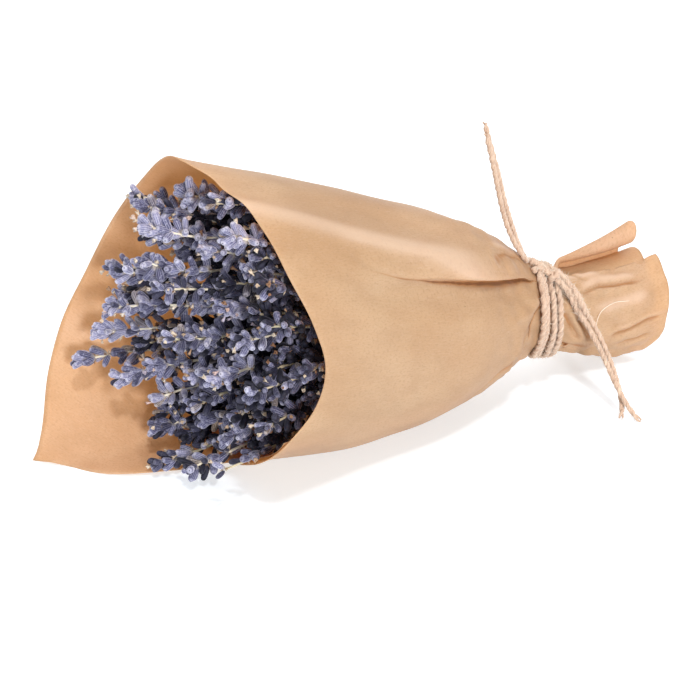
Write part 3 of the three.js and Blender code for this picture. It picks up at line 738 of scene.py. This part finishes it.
def pleat(x, turn):
    """How far the pleats push the paper in and out, less on the calm near side."""
    reach = smooth(-75, -20, x) * mix(1, 0.5, smooth(20, 60, x))
    tied = mix(TIED_DEPTH / PLEAT_DEPTH, 1, smooth(6, 14, np.abs(x - tie_x(turn))))
    deep = PLEAT_DEPTH * reach * tied * (1 - 0.8 * between(0, 22, 118, 142, turn))
    return deep * np.cos(np.radians((turn - PLEAT_PHASE) * PLEATS))


def lip_lift(x, turn):
    off = (np.mod(turn, 360) - LIP_TURN) / LIP_SPAN
    share = np.cos(np.radians(np.clip(off * 90, -90, 90)))
    return LIP_LIFT * smooth(-110, -170, x) * share**2


def plain_paper(x, turn, push=0.0):
    """The middle of the sheet at x and turn, pushed outwards by push."""
    w, h, c = section(x)
    inner = (1 - smooth(CORNER_TURN, -110, turn)) * smooth(-225, -196, x)
    inset = LAYER_GAP * inner
    swell = pleat(x, turn) - inset + push
    a = np.radians(turn)
    z = c + (h + swell) * np.cos(a) + lip_lift(x, turn)
    z = np.maximum(z, FLOOR_LIE + inset)
    return np.stack(np.broadcast_arrays(x, -(w + swell) * np.sin(a), z), axis=-1)


def tuck(x, turn, line, depth, span):
    """A fold whose upper side lies over its lower side: the shift in turn, and the push."""
    radius = girth(x)
    s = np.radians(turn - along(line, x)) * radius
    d = np.maximum(along(depth, x), 0)
    inside = np.clip(s, -span, span)
    shift = -d * np.sin(np.pi * inside / span)
    beyond = np.maximum(np.abs(s) - span, 0)
    push = -0.3 * d * np.sin(np.pi * inside / (2 * span)) * bell(beyond, 11)
    return np.degrees(shift / radius), push


def girth(x):
    w, h, _ = section(x)
    return (w + h) / 2


def off_line(x, turn, route):
    """How far the sheet's points lie from a route of (x, turn) points, and how far along it."""
    spot = np.stack([x, np.radians(turn) * girth(x)], axis=-1)
    px, pt = np.array(route, float).T
    ends = np.stack([px, np.radians(pt) * girth(px)], axis=-1)
    reach = reach_of(ends)
    least, place = np.full(x.shape, np.inf), np.zeros(x.shape)
    for a, b, before, after in zip(ends, ends[1:], reach, reach[1:]):
        t = np.clip(((spot - a) @ (b - a)) / ((b - a) @ (b - a)), 0, 1)
        away = np.linalg.norm(spot - a - t[..., None] * (b - a), axis=-1)
        nearer = away < least
        least = np.where(nearer, away, least)
        place = np.where(nearer, mix(before, after, t) / reach[-1], place)
    return least, place


def crease(x, turn, route, width):
    """A crease's share of its height: whole in the middle of its route and none at its ends."""
    away, place = off_line(x, turn, route)
    return bell(away, width) * between(0, 0.25, 0.75, 1, place)


def crumple(x, turn):
    """Small flat facets of paper that was gathered by hand, strongest beside the tie."""
    arc = np.radians(turn) * girth(x)
    total = np.zeros(np.shape(x))
    for along_x, along_arc, phase in FACETS:
        wave = np.mod(x * along_x + arc * along_arc + phase, 1.0)
        total += np.abs(wave * 2 - 1) - 0.5
    reach = smooth(-62, -18, x) * (1 - 0.35 * smooth(30, 70, x))
    return total * reach * FACET_DEPTH


def relief(x, turn):
    """Ridges, creases and the unevenness of the sheet, outwards in millimetres."""
    total = crumple(x, turn)
    for route, width, height in CREASES:
        total += height * crease(x, turn, route, width)
    before = x - along(STEP_LINE, turn)
    total += STEP_HEIGHT * step_reach(turn) * (1 - smooth(-0.5, 0.5, before)) * bell(
        before, STEP_SPAN)
    total += 0.3 * np.sin(x / 13 + turn / 21) * np.sin(turn / 14 + 1)
    total += 0.2 * np.sin(x / 7.3 - turn / 17 + 2) * np.sin(x / 23 + turn / 9)
    return total * smooth(-2.5, 4.5, np.abs(x - tie_x(turn)) - 3)


def step_reach(turn):
    return between(56, 66, 126, 140, turn)


def painted_light(x, turn):
    """Painted light on the sheet: a painted highlight on ridges and on the step's edge, above 0,
    and painted shade in creases, under tucks and beside the step, below 0.
    """
    total = np.zeros(np.shape(x))
    for route, width, height in CREASES:
        if height > 0:
            ridge_highlight = HIGHLIGHT_WIDE if width > PAINTED_LINE_WIDEST else HIGHLIGHT_NARROW
            total += ridge_highlight * crease(x, turn, route, RIDGE_HIGHLIGHT_WIDTH * width)
        elif width < PAINTED_LINE_WIDEST:
            dark = max(GROOVE_DARK * height, GROOVE_DARKEST)
            total += dark * crease(x, turn, route, GROOVE_SHADE_WIDTH * width)
    before = x - along(STEP_LINE, turn)
    for place, width, share in STEP_MARKS:
        total += share * step_reach(turn) * bell(before - place, width)
    for line, depth, span in TUCKS:
        d = along(depth, x)
        s = np.radians(turn - along(line, x)) * girth(x) - span * along(TUCK_SHOWS, d / span)
        total -= np.clip(d / 3, 0, 1) * (
            bell(s - 0.1, TUCK_LINE) + SHADE_SHARE * bell(s, TUCK_SHADE))
    return np.clip(total, -1, 1)


def rich_paper(x, turn):
    """The middle of the sheet with its folds, tucks and creases."""
    shifts, pushes = zip(*(tuck(x, turn, *each) for each in TUCKS))
    return plain_paper(x, turn + sum(shifts), sum(pushes) + relief(x, turn))


def flap(x, turn):
    """The far side of the slit in the gathered end, rolled into a cone that opens outwards."""
    share = (turn - FLAP_HINGE) / (SLIT_TURN - FLAP_HINGE)
    opened = np.clip((x - SLIT_X) / (FLAP_END - SLIT_X), 0.02, 1.1)
    rise = FLAP_RISE * opened**0.8
    radius = FLAP_RADIUS * opened
    length = rise + radius * FLAP_CURL
    s = share * length
    curl = np.maximum(s - rise, 0) / radius
    rolled = plain_paper(x, np.full_like(turn, FLAP_HINGE))
    rolled[..., 1] += radius * (np.cos(curl) - 1) + FLAP_LEAN * np.minimum(s, rise)
    rolled[..., 2] += np.minimum(s, rise) + radius * np.sin(curl)
    return mix(plain_paper(x, turn), rolled, smooth(SLIT_X, FLAP_FREE, x)[..., None])


def over_paper(x, turn, height):
    """Points over the plain paper's middle, by height outwards."""
    x, turn = np.asarray(x, float), np.asarray(turn, float)
    by_turn = plain_paper(x, turn + 0.5) - plain_paper(x, turn - 0.5)
    by_x = plain_paper(x + 0.5, turn) - plain_paper(x - 0.5, turn)
    out = unit(np.cross(by_turn, by_x))
    return plain_paper(x, turn) + out * np.asarray(height)[..., None]


def column_turns():
    """Turns of the grid's columns: close together where the sheet is folded."""
    wide = np.arange(FIRST_TURN, LAST_TURN + 0.1, 2.25)
    near = np.arange(SLIT_TURN, 112, 1.6)
    return np.unique(np.round(np.concatenate([
        wide[(wide < -30) | (wide > 134.5)], near[(near < 33.2) | (near > 66.8)],
        np.arange(FLAP_HINGE, SLIT_TURN, 1.8), np.arange(*FOLD_COLUMNS),
        np.arange(*GATHER_COLUMNS), [SLIT_TURN],
    ]), 3))


def row_places(turns, tail):
    """x of every row at every column."""
    cone = mix(along(MOUTH, turns)[:, None], WAIST_START, np.linspace(0, 1, CONE_ROWS + 1)[:-1])
    waist = np.linspace(WAIST_START, WAIST_END, WAIST_ROWS)
    middle = np.broadcast_to(waist, (len(turns), WAIST_ROWS))
    end = mix(WAIST_END, along(tail, turns)[:, None], np.linspace(0, 1, END_ROWS + 1)[1:])
    return np.concatenate([cone, middle, end], axis=1)


def flat_map(x, turn):
    """The marks of the paper: the sheet unrolled, in metres, and its painted highlights and painted
    shade.
    """
    reach = (FAN_CENTRE - x) * FAN_SCALE
    angle = np.radians((turn - FAN_TURN) * FAN_SHARE)
    return np.stack([reach * np.cos(angle), reach * np.sin(angle), painted_light(x, turn), 0 * reach],
                    axis=-1)


def grid_quads(ids):
    return np.stack([ids[:-1, :-1], ids[1:, :-1], ids[1:, 1:], ids[:-1, 1:]], -1).reshape(-1, 4)


def tail_lining():
    """The sheet's first edge inside the gathered end, where the narrow end rolls on further."""
    turns = np.arange(INNER_FIRST, FIRST_TURN, 3.0)
    x = mix(INNER_FROM, along(TAIL_INNER, turns)[:, None], np.linspace(0, 1, LINING_ROWS))
    turn = np.broadcast_to(turns[:, None], x.shape)
    rise = INNER_RISE * smooth(14, 48, x) * bell(turn - INNER_TURN, INNER_SPAN)
    return x, turn, plain_paper(x, turn, rise)


def rim_of(quads):
    """Edges that only one of the quads has, each in that quad's order."""
    edges = {}
    for k in range(4):
        for a, b in zip(quads[:, k].tolist(), quads[:, (k + 1) % 4].tolist()):
            if (b, a) in edges:
                del edges[b, a]
            else:
                edges[a, b] = True
    return np.array(list(edges)).T


def paper_wrap():
    turns = column_turns()
    far, near = turns[turns <= SLIT_TURN], turns[turns >= SLIT_TURN]
    x_far, x_near = row_places(far, TAIL_FAR), row_places(near, TAIL_NEAR)
    t_far = np.broadcast_to(far[:, None], x_far.shape)
    t_near = np.broadcast_to(near[:, None], x_near.shape)
    p_far = rich_paper(x_far, t_far)
    flapped = (t_far > FLAP_HINGE) & (x_far > SLIT_X)
    p_far[flapped] = flap(x_far[flapped], t_far[flapped])
    p_near = rich_paper(x_near, t_near)
    x_in, t_in, p_in = tail_lining()
    points = np.concatenate([p.reshape(-1, 3) for p in (p_far, p_near, p_in)])
    marks = np.concatenate([
        flat_map(x, t).reshape(-1, 4)
        for x, t in ((x_far, t_far), (x_near, t_near), (x_in, t_in))])
    marks[:flapped.size, 3] = flapped.ravel()  # the flap shows the colour of the inner side
    ids_far = np.arange(x_far.size).reshape(x_far.shape)
    ids_near = ids_far.size + np.arange(x_near.size).reshape(x_near.shape)
    ids_in = ids_far.size + ids_near.size + np.arange(x_in.size).reshape(x_in.shape)
    shared = int(np.searchsorted(x_near[0], SLIT_X + 0.01))
    ids_near[0, :shared] = ids_far[-1, :shared]
    joined = np.abs(x_far[0] - x_in[-1][:, None]).argmin(axis=1)
    points[ids_in[-1]] = points[ids_far[0, joined]]
    quads = np.concatenate([grid_quads(ids) for ids in (ids_far, ids_near, ids_in)])
    used, quads = np.unique(quads, return_inverse=True)
    quads = quads.reshape(-1, 4)
    points, marks = points[used], marks[used]
    across = points[quads[:, 2]] - points[quads[:, 0]]
    faces_out = np.cross(across, points[quads[:, 3]] - points[quads[:, 1]])
    normals = np.zeros_like(points)
    for k in range(4):
        np.add.at(normals, quads[:, k], faces_out)
    normals = unit(normals)
    count = len(points)
    start, end = rim_of(quads)
    rim_faces = np.stack([start, start + count, end + count, end], axis=1)
    build = Build()
    shell = np.concatenate([points + normals * PAPER / 2, points - normals * PAPER / 2])
    shell[:, 2] = np.maximum(shell[:, 2], FLOOR_GAP)
    inside = marks + [0, 0, 0, 1]
    build.add(shell, [quads, quads[:, ::-1] + count, rim_faces], 0, np.concatenate([marks, inside]))
    return build.piece("kraft_wrap", [kraft_paint()], ["paper_wrap"], "kraft_paper")


wrap = paper_wrap()


# The tie

BAND_FIRST, BAND_LAST, BAND_GAP = -28, 360 * TIE_TURNS + 20, 0.15
BAND_SEED = 11
# How far each turn of the band strays from its place on the near side.
STRAY = [-2.3, -2.1, 0.5, 2.1]
# Two more strands of the knot, and a loose white fibre: x, turn, height over the paper.
KNOT_UNDER = [(-7, 30, 1.4), (-3, 22, 2.2), (3, 18, 3.4), (8.5, 24, 3.6), (13, 36, 2.6),
              (16.5, 50, 1.4), (19, 64, 1.0)]
KNOT_OVER = [(-2, 6, 1.6), (2, 14, 3.0), (5.5, 25, 5.4), (9, 36, 5.6), (12.5, 48, 5.0),
             (15.5, 60, 4.4), (17.5, 70, 4.6)]
FIBRE = [(21.5, 79, 6), (23.5, 76, 3.5), (28, 64, 1.2), (36, 55, 1.6), (45.5, 55, 0.8)]
FIBRE_RADIUS, FIBRE_STEPS, FIBRE_SIDES = 0.16, 30, 4


def route_over(places):
    return [over_paper(x, t, SOLID_PAPER / 2 + h) for x, t, h in places]


def tie():
    """Four turns round the waist, the strands of the knot, and the loose fibres."""
    build = Build()
    draw = np.random.default_rng(BAND_SEED)
    turn = np.linspace(BAND_FIRST, BAND_LAST, BAND_STEPS)
    share = (turn - BAND_FIRST) / (BAND_LAST - BAND_FIRST)
    passing = np.clip(np.floor(turn / 360).astype(int), 0, TIE_TURNS - 1)
    stray = np.array(STRAY)[passing] * between(0, 50, 120, 175, np.mod(turn, 360))
    wander = 0.4 * np.sin(turn / 57 + 1) + 0.3 * np.sin(turn / 31)
    offset = (share - 0.5) * TIE_PITCH * TIE_TURNS + stray + wander
    height = SOLID_PAPER / 2 + TWINE / 2 + BAND_GAP + 0.25 * np.sin(turn / 43)
    points = over_paper(tie_x(turn) + offset, turn, height)
    strand(build, points, BAND_TWINE, BAND_TWIST)
    hairs(build, points, BAND_TWINE, *BAND_HAIRS, draw)
    for shift, loose in ((-KNOT_APART, LOWER_B), (KNOT_APART, LOWER_A)):
        beside = [(x + shift, t + KNOT_SKEW * shift, h) for x, t, h in KNOT_ROUTE]
        line = through([*route_over(beside), loose[0], loose[1]], KNOT_STEPS)
        strand(build, line, BAND_TWINE, KNOT_TWIST, KNOT_SIDES, phase=shift)
        hairs(build, line, BAND_TWINE, *ROUTE_HAIRS, draw)
    for phase, places in enumerate((KNOT_UNDER, KNOT_OVER)):
        line = through(route_over(places), KNOT_STEPS)
        strand(build, line, BAND_TWINE, KNOT_TWIST, KNOT_SIDES, fray=KNOT_FRAY, phase=phase)
        hairs(build, line, BAND_TWINE, *KNOT_HAIRS, draw)
    middle, before = route_over([KNOT_ROUTE[2], KNOT_ROUTE[1]])
    axis = unit(middle - before)
    side = unit(np.cross(axis, [0.2, 0.3, 1.0]))
    other = np.cross(axis, side)
    a = np.linspace(0, 2 * np.pi, LOOP_STEPS)
    rise = np.linspace(-LOOP_RISE, LOOP_RISE, LOOP_STEPS)[:, None]
    loop = middle + KNOT_LOOP * spoke(a, side, other) + axis * rise
    strand(build, loop, BAND_TWINE, LOOP_TWIST)
    fibre, faces = tube(through(route_over(FIBRE), FIBRE_STEPS), FIBRE_RADIUS, FIBRE_SIDES)
    build.add(fibre, faces, 0, (0, 0, 1, 0))
    build.piece("twine_band", [JUTE], ["twine_tie"], "jute_twine")


tie()


# Flower heads

ROOT_X, ROOT_SPREAD = -18, 0.48  # where the stalks meet, and how far they spread there
STALK_SIDES, STALK_RADII = 6, (0.62, 0.85)
STEM_STEPS, STALK_STEPS = 22, 26  # rings of a stalk within a head, and from there to its cut end
CALYX_LENGTH, CALYX_RADIUS = 7.9, 1.68
CALYX_PROFILE = [
    (0, 0.36), (0.08, 0.62), (0.26, 0.88), (0.52, 1.0), (0.77, 0.98), (0.9, 0.8), (0.98, 0.5),
    (1.0, 0.26),
]
CALYX_HOLE, HOLE_DEPTH = (0.95, 0.12), 1.2  # its mouth, painted dark as painted shade in the opening, and the mark that says so
EXTRA_HEADS, DEEP_FROM = 90, 56
# Where more heads may go: trial spots in a spiral across the mouth, the radius of the spiral and
# the height of its middle, and how near a spot's third nearest head is.
SPOTS, SPOT_RADIUS, SPOT_HEIGHT, SPIRAL_STEP = 900, 57, 70, math.radians(137.508)
SPOT_REACH, FRONT_DEPTHS, DEEP_DEPTHS = 17, (2, 22), (20, 52)
EXTRA_LENGTHS, FILLER_LENGTH = (36, 46), 42
# Tips of six more heads, low in the mouth and by its near edge.
FILLERS = [
    (-184, 24, 16), (-178, 8, 13), (-176, 22, 28), (-160, -28, 88), (-158, -38, 66),
    (-158, -30, 40),
]


def calyx_form(sides, profile):
    """A calyx 1 long and 1 in radius: points, faces, and the marks for how far along and round."""
    rings = np.array(profile + [CALYX_HOLE])
    a = np.tile(np.linspace(0, 2 * np.pi, sides, endpoint=False), len(rings))
    t, r = np.repeat(rings, sides, axis=0).T
    points = np.stack([r * np.cos(a), r * np.sin(a), t], axis=1)
    depth = np.where(np.arange(len(a)) < len(a) - sides, t, HOLE_DEPTH)
    marks = np.stack([depth, 0 * a, np.cos(a), np.sin(a)], axis=1)
    return points, tube_faces(len(rings), sides), marks


FINE_CALYX = calyx_form(9, CALYX_PROFILE)
PLAIN_CALYX = calyx_form(6, [CALYX_PROFILE[i] for i in (0, 2, 4, 6)])


def turned(axes, spins):
    """Rotation matrices that stand the Z axis along each axis, after a spin about it."""
    helper = np.where(np.abs(axes[:, 2:3]) < 0.9, [[0.0, 0.0, 1.0]], [[1.0, 0.0, 0.0]])
    x = unit(np.cross(helper, axes))
    y = np.cross(axes, x)
    c, s = np.cos(spins)[:, None], np.sin(spins)[:, None]
    return np.stack([x * c + y * s, y * c - x * s, axes], axis=-1)


def add_forms(build, form, places, axes, lengths, radii, seeds, bends, slot):
    """One copy of a form at each place, bent a little, all in one go."""
    points, faces, marks = form
    scaled = points[None] * np.stack([radii, radii, lengths], axis=-1)[:, None]
    scaled[:, :, 0] += np.reshape(bends, (-1, 1)) * lengths[:, None] * points[None, :, 2] ** 2
    world = np.einsum("nij,nvj->nvi", turned(axes, seeds * 40), scaled) + places[:, None]
    count = len(points)
    shifts = np.arange(len(places)) * count
    all_faces = [
        (group[None] + shifts[:, None, None]).reshape(-1, group.shape[1]) for group in faces]
    all_marks = np.broadcast_to(marks, (len(places), count, 4)).copy()
    all_marks[:, :, 1] = seeds[:, None]
    build.add(world.reshape(-1, 3), all_faces, slot, all_marks.reshape(-1, 4))


def scrap_form():
    """A small pointed scale, folded along its middle, 1 long."""
    points = np.array([
        [0, 0, 0], [0.34, 0.1, 0.4], [0, -0.06, 1.0], [-0.34, 0.1, 0.4], [0, -0.12, 0.42],
    ])
    faces = [np.array([[0, 1, 4], [1, 2, 4], [2, 3, 4], [3, 0, 4], [0, 3, 1], [1, 3, 2]])]
    return points, faces, np.zeros(4)


def crumb_form():
    """A withered flower: a short crumpled funnel, 1 long."""
    sides = 7
    a = np.linspace(0, 2 * np.pi, sides, endpoint=False)
    rings = []
    for t, r in ((0, 0.2), (0.45, 0.42), (0.8, 0.8), (1.0, 0.62), (0.7, 0.25)):
        wave = 1 + 0.35 * np.sin(3 * a + 4 * t) * t
        lift = 0.18 * np.cos(3 * a + 1) * t
        rings.append(np.stack([r * wave * np.cos(a), r * wave * np.sin(a), t + lift], 1))
    return np.concatenate(rings), tube_faces(len(rings), sides), np.zeros(4)


SCRAP, CRUMB = scrap_form(), crumb_form()

CROWN = 4.2  # how far the topmost whorl is from the tip
WHORL_GAPS = np.array([0.0, 0.0, 5.4, 12.0, 19.6, 27.8])
CRUMB_SHARE, OLD_SHARE = 0.15, 0.04  # of the calyces: those with a withered flower, and brown ones
CROWN_LEANS, LEANS = (48, 84), (46, 12)  # in degrees: least and most, mean and deviation
SCRAPS = 3  # beside each group of calyces
PAPER_GAP, TIP_GAP = 2.5, 9  # from the cone's section to a calyx, and to the tip of a head
OVERHANG = 12  # how far beyond the mouth a calyx may hang out
FIRST_SEED, EXTRA_SEED, INNER_SEED = 100, 5, 500
GROUP = 24  # extra heads in a piece


def clear_of_paper(points):
    """Which points lie inside the cone or beyond its mouth, and over the floor."""
    w, h, c = section(points[:, 0])
    across, up = points[:, 1], points[:, 2] - c
    turn = np.degrees(np.arctan2(-across / w, up / h))
    up = up - lip_lift(points[:, 0], turn)
    within = np.hypot(across / (w - PAPER_GAP), up / (h - PAPER_GAP)) < 1
    return (within | (points[:, 0] < along(MOUTH, turn) - OVERHANG)) & (points[:, 2] > 1.5)


def columns(rows):
    return [np.array(column) for column in zip(*rows)]


def head(build, base, tip, draw, calyx, tone_and_shade, flare, crowd, first_gap):
    """One flower head from base to tip: rachis, whorls of calyces, bracts and crumbs.

    tone_and_shade is how light its calyces, scraps, crumbs and rachis are, from 0 to 1: a random
    tone, lowered as painted shade for heads deep in the bunch and under the near side. The rest is
    as in CROWNS.
    """
    length = float(np.linalg.norm(tip - base))
    axis = unit(tip - base)
    side = unit(np.cross([0.0, 0.0, 1.0], axis))
    other = np.cross(axis, side)
    sway = side * draw.normal(0, 1.8) + other * draw.normal(0, 1.8)
    stem_end = 1 - CROWN / length

    def on_axis(share):
        share = np.asarray(share, float)[..., None]
        return base + (tip - base) * share + sway * 4 * share * (1 - share)

    gaps = WHORL_GAPS * draw.uniform(0.85, 1.2) + draw.normal(0, 0.5, len(WHORL_GAPS))
    gaps += first_gap
    gaps[0] = 0
    whorls = stem_end - gaps / length
    whorls = whorls[whorls > 0.03]
    twist = draw.uniform(0, np.pi)
    calyces, scraps = [], []
    for k, share in enumerate(whorls):
        centre = on_axis(share)
        for cluster in (0, 1):
            number = int(draw.integers(2, 5)) if k else crowd
            middle = twist + k * np.pi / 2 + cluster * np.pi + draw.normal(0, 0.4)
            spread = np.linspace(-1, 1, number) * draw.uniform(0.7, 1.2)
            opened = draw.normal(*LEANS)
            for angle in middle + spread + draw.normal(0, 0.22, number):
                out = spoke(angle, side, other)
                if k == 0:
                    lean = np.radians(draw.uniform(*CROWN_LEANS) - flare)
                else:
                    lean = np.radians(np.clip(opened + draw.normal(0, 14), -5, 80))
                place = centre + out * 0.5 + axis * draw.uniform(-1.4, 1.4)
                reach = CALYX_LENGTH * draw.uniform(0.72, 1.1)
                reach *= 1.0 if k else 0.82 + flare / 160
                if draw.uniform() < OLD_SHARE:
                    seed = draw.uniform(0.88, 1.0)
                else:
                    seed = np.clip(tone_and_shade * 0.87 + draw.normal(0, 0.26), 0, 0.86)
                way = unit(out * np.cos(lean) + axis * np.sin(lean))
                calyces.append((place, way, reach, seed))
            out = spoke(middle, side, other)
            for _ in range(SCRAPS):
                way = unit(out + axis * draw.uniform(-0.3, 0.9) + draw.normal(0, 0.35, 3))
                scraps.append((centre + out * 0.6 - axis * draw.uniform(-0.4, 1.0), way,
                               draw.uniform(1.2, 3.0), draw.uniform(0, 0.25 + tone_and_shade)))
    places, axes, lengths, seeds = columns(calyces)
    clear = clear_of_paper(places + axes * lengths[:, None])
    places, axes, lengths, seeds = places[clear], axes[clear], lengths[clear], seeds[clear]
    radii = CALYX_RADIUS * draw.uniform(0.8, 1.1, len(places)) * (lengths / CALYX_LENGTH) ** 0.6
    add_forms(build, calyx, places, axes, lengths, radii, seeds,
              draw.normal(0, 0.12, len(places)), 0)

    crumbs = draw.uniform(0, 1, len(places)) < CRUMB_SHARE
    number = int(crumbs.sum())
    if number:
        ends = places[crumbs] + axes[crumbs] * lengths[crumbs, None] * 0.93
        add_forms(build, CRUMB, ends, unit(axes[crumbs] + draw.normal(0, 0.5, (number, 3))),
                  draw.uniform(1.4, 3.4, number), draw.uniform(0.7, 1.4, number),
                  draw.uniform(0.1, 0.4 + tone_and_shade, number), 0, 2)
    places, axes, lengths, seeds = columns(scraps)
    add_forms(build, SCRAP, places, axes, lengths, lengths * 0.75, seeds, 0, 2)

    t = np.linspace(0, stem_end, STEM_STEPS)
    swell = sum(bell((t - w) * length, 0.8) for w in whorls)
    shell, faces = tube(on_axis(t), 0.6 + 0.35 * np.clip(swell, 0, 1) - 0.12 * t, STALK_SIDES)
    build.add(shell, faces, 1, (0, np.clip(tone_and_shade * 0.85 + draw.uniform(0.1, 0.5), 0, 1), 0, 0))
    return on_axis(0.0)


# How far the photo shows a head's tip from that of its solid.
TIP_SHIFTS = {"spike_01": (-4.5, -0.2, -4.2)}


def ends_of(node):
    """The foot and the tip of a head's solid, in the drawing's frame."""
    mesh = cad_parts[node].data
    points = from_frame([tuple(v.co) for v in mesh.vertices])
    middle = points.mean(axis=0)
    axis = np.linalg.svd(points - middle, full_matrices=False)[2][0]
    if axis[0] > 0:
        axis = -axis
    reach = (points - middle) @ axis
    foot = points[reach < reach.min() + 0.4].mean(axis=0)
    tip = points[reach.argmax()]
    return foot, tip + TIP_SHIFTS.get(node, (0, 0, 0))


def root_of(tip):
    """Where a head's stalk enters the waist."""
    w, h, c = section(tip[0])
    w0, h0, c0 = section(ROOT_X)
    u, v = tip[1] / w, (tip[2] - c) / h
    return np.array([ROOT_X, u * w0 * ROOT_SPREAD, c0 + v * h0 * ROOT_SPREAD])


def foot_of(tip, length):
    return tip - unit(tip - root_of(tip)) * length


CALYX, STRAW, BRACT = calyx_paint(), straw_paint(), bract_paint()
# A head's crown: how far it opens, in degrees, the calyces on each side of it, and how far
# the next whorl is from it.
PLAIN_CROWN = (0, 4, 4.2)
CROWNS = {
    "spike_01": (38, 8, 4.2), "spike_12": (14, 4, 4.2), "spike_14": (20, 4, 4.2),
    "spike_15": (10, 1, 12),
}


def tone_and_shade_of(tip, draw):
    """How light a head is: a random tone, darker close to the near side of the paper as painted
    shade under it.
    """
    return draw.uniform(0.4, 0.95) * (1 - 0.65 * smooth(-22, -48, tip[1]))


spikes = sorted(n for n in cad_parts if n.startswith("spike_"))
heads = [ends_of(n) for n in spikes]
feet = []
for i, (name, (foot, tip)) in enumerate(zip(spikes, heads)):
    build = Build()
    draw = np.random.default_rng(FIRST_SEED + i)
    feet.append((head(build, foot, tip, draw, FINE_CALYX, tone_and_shade_of(tip, draw),
                      *CROWNS.get(name, PLAIN_CROWN)), tip))
    build.piece(name.replace("spike", "lavender"), [CALYX, STRAW, BRACT], [name],
                "lavender_flower")


def extra_heads():
    """Heads that fill the bunch between those of the solids, and then the ones behind them."""
    draw = np.random.default_rng(EXTRA_SEED)
    tips = np.array([tip for _, tip in heads])
    i = np.arange(SPOTS)
    r, a = SPOT_RADIUS * np.sqrt((i + 0.5) / SPOTS), i * SPIRAL_STEP
    spots = np.stack([r * np.sin(a), SPOT_HEIGHT + r * np.cos(a)], axis=1)
    away = np.linalg.norm(spots[:, None] - tips[None, :, 1:], axis=-1)
    reach = away.min(axis=1)
    enclosed = np.sort(away, axis=1)[:, 2] < SPOT_REACH
    made = []
    for k in range(EXTRA_HEADS):
        spot = spots[int(np.argmax(np.where(enclosed, reach, -1)))]
        reach = np.minimum(reach, np.linalg.norm(spots - spot, axis=-1))
        if k == DEEP_FROM:
            reach = away.min(axis=1)
        near = np.argsort(np.hypot(tips[:, 1] - spot[0], tips[:, 2] - spot[1]))[:3]
        x = tips[near, 0].max() + draw.uniform(*(FRONT_DEPTHS if k < DEEP_FROM else DEEP_DEPTHS))
        tip = np.array([x, *spot])
        w, h, c = section(x)
        over = math.hypot(spot[0] / (w - TIP_GAP), (spot[1] - c) / (h - TIP_GAP))
        if over > 1:
            tip[1], tip[2] = spot[0] / over, c + (spot[1] - c) / over
        made.append((foot_of(tip, draw.uniform(*EXTRA_LENGTHS)), tip))
    return made + [(foot_of(np.array(tip), FILLER_LENGTH), np.array(tip)) for tip in FILLERS]


extras = extra_heads()
for start in range(0, len(extras), GROUP):
    build = Build()
    for i, (foot, tip) in enumerate(extras[start:start + GROUP]):
        draw = np.random.default_rng(INNER_SEED + start + i)
        # Extra heads are darker and the deep ones darkest: painted shade inside the bunch, over a
        # random tone.
        tone_and_shade = draw.uniform(0.0, 0.4) if start + i < DEEP_FROM else draw.uniform(0, 0.15)
        feet.append((head(build, foot, tip, draw, PLAIN_CALYX, tone_and_shade, *PLAIN_CROWN), tip))
    build.piece(f"lavender_inner_{start // GROUP + 1}", [CALYX, STRAW, BRACT], (),
                "lavender_flower")


# Stalks

# How wide the bunch of stalks is at each x, then where they are cut off and how wide it is there.
STALKS_WIDE = [(-40, 16.5), (ROOT_X, 14.5), (-6, 14), (6, 13.5), (18, 13.5), (30, 13.2)]
TAIL_ENDS, TAIL_WIDE = (46, 57), 13.0
STRAIGHT, CLEAR = 12, 8  # a stalk's straight part behind its head, and the least to its next point
STALK_SWAY, STALK_SEED = 0.06, 21


def stalks():
    """One stalk for each head, gathered in the waist and cut off in the tail."""
    build = Build()
    draw = np.random.default_rng(STALK_SEED)
    roots = np.array([root_of(tip) for _, tip in feet])
    _, _, c0 = section(ROOT_X)
    angle = np.arctan2(roots[:, 1], roots[:, 2] - c0)
    order = np.argsort(np.hypot(roots[:, 1], roots[:, 2] - c0))
    share = np.empty(len(roots))
    share[order] = np.sqrt((np.arange(len(roots)) + 0.5) / len(roots))
    for i, (foot, tip) in enumerate(feet):
        direction = unit(tip - foot)
        back = foot - direction * STRAIGHT
        route = [foot + direction * 0.5, back]
        for x, r in (*STALKS_WIDE, (draw.uniform(*TAIL_ENDS), TAIL_WIDE)):
            if x >= back[0] + CLEAR:
                _, _, c = section(x)
                a = angle[i] + draw.normal(0, STALK_SWAY)
                route.append((x, r * share[i] * math.sin(a), c + r * share[i] * math.cos(a)))
        line = through(route, STALK_STEPS)
        radius = draw.uniform(*STALK_RADII)
        shell, faces = tube(line, radius, STALK_SIDES, spin=draw.uniform(0, 1))
        # Each stalk takes a random colour from the darker half of the straw colours: painted shade
        # for stalks inside the bunch.
        build.add(shell, faces, 0, (0, draw.uniform(0, 0.6), 0, 0))
    build.piece("stalks", [STRAW], ["stems"], "straw_stalk")


stalks()
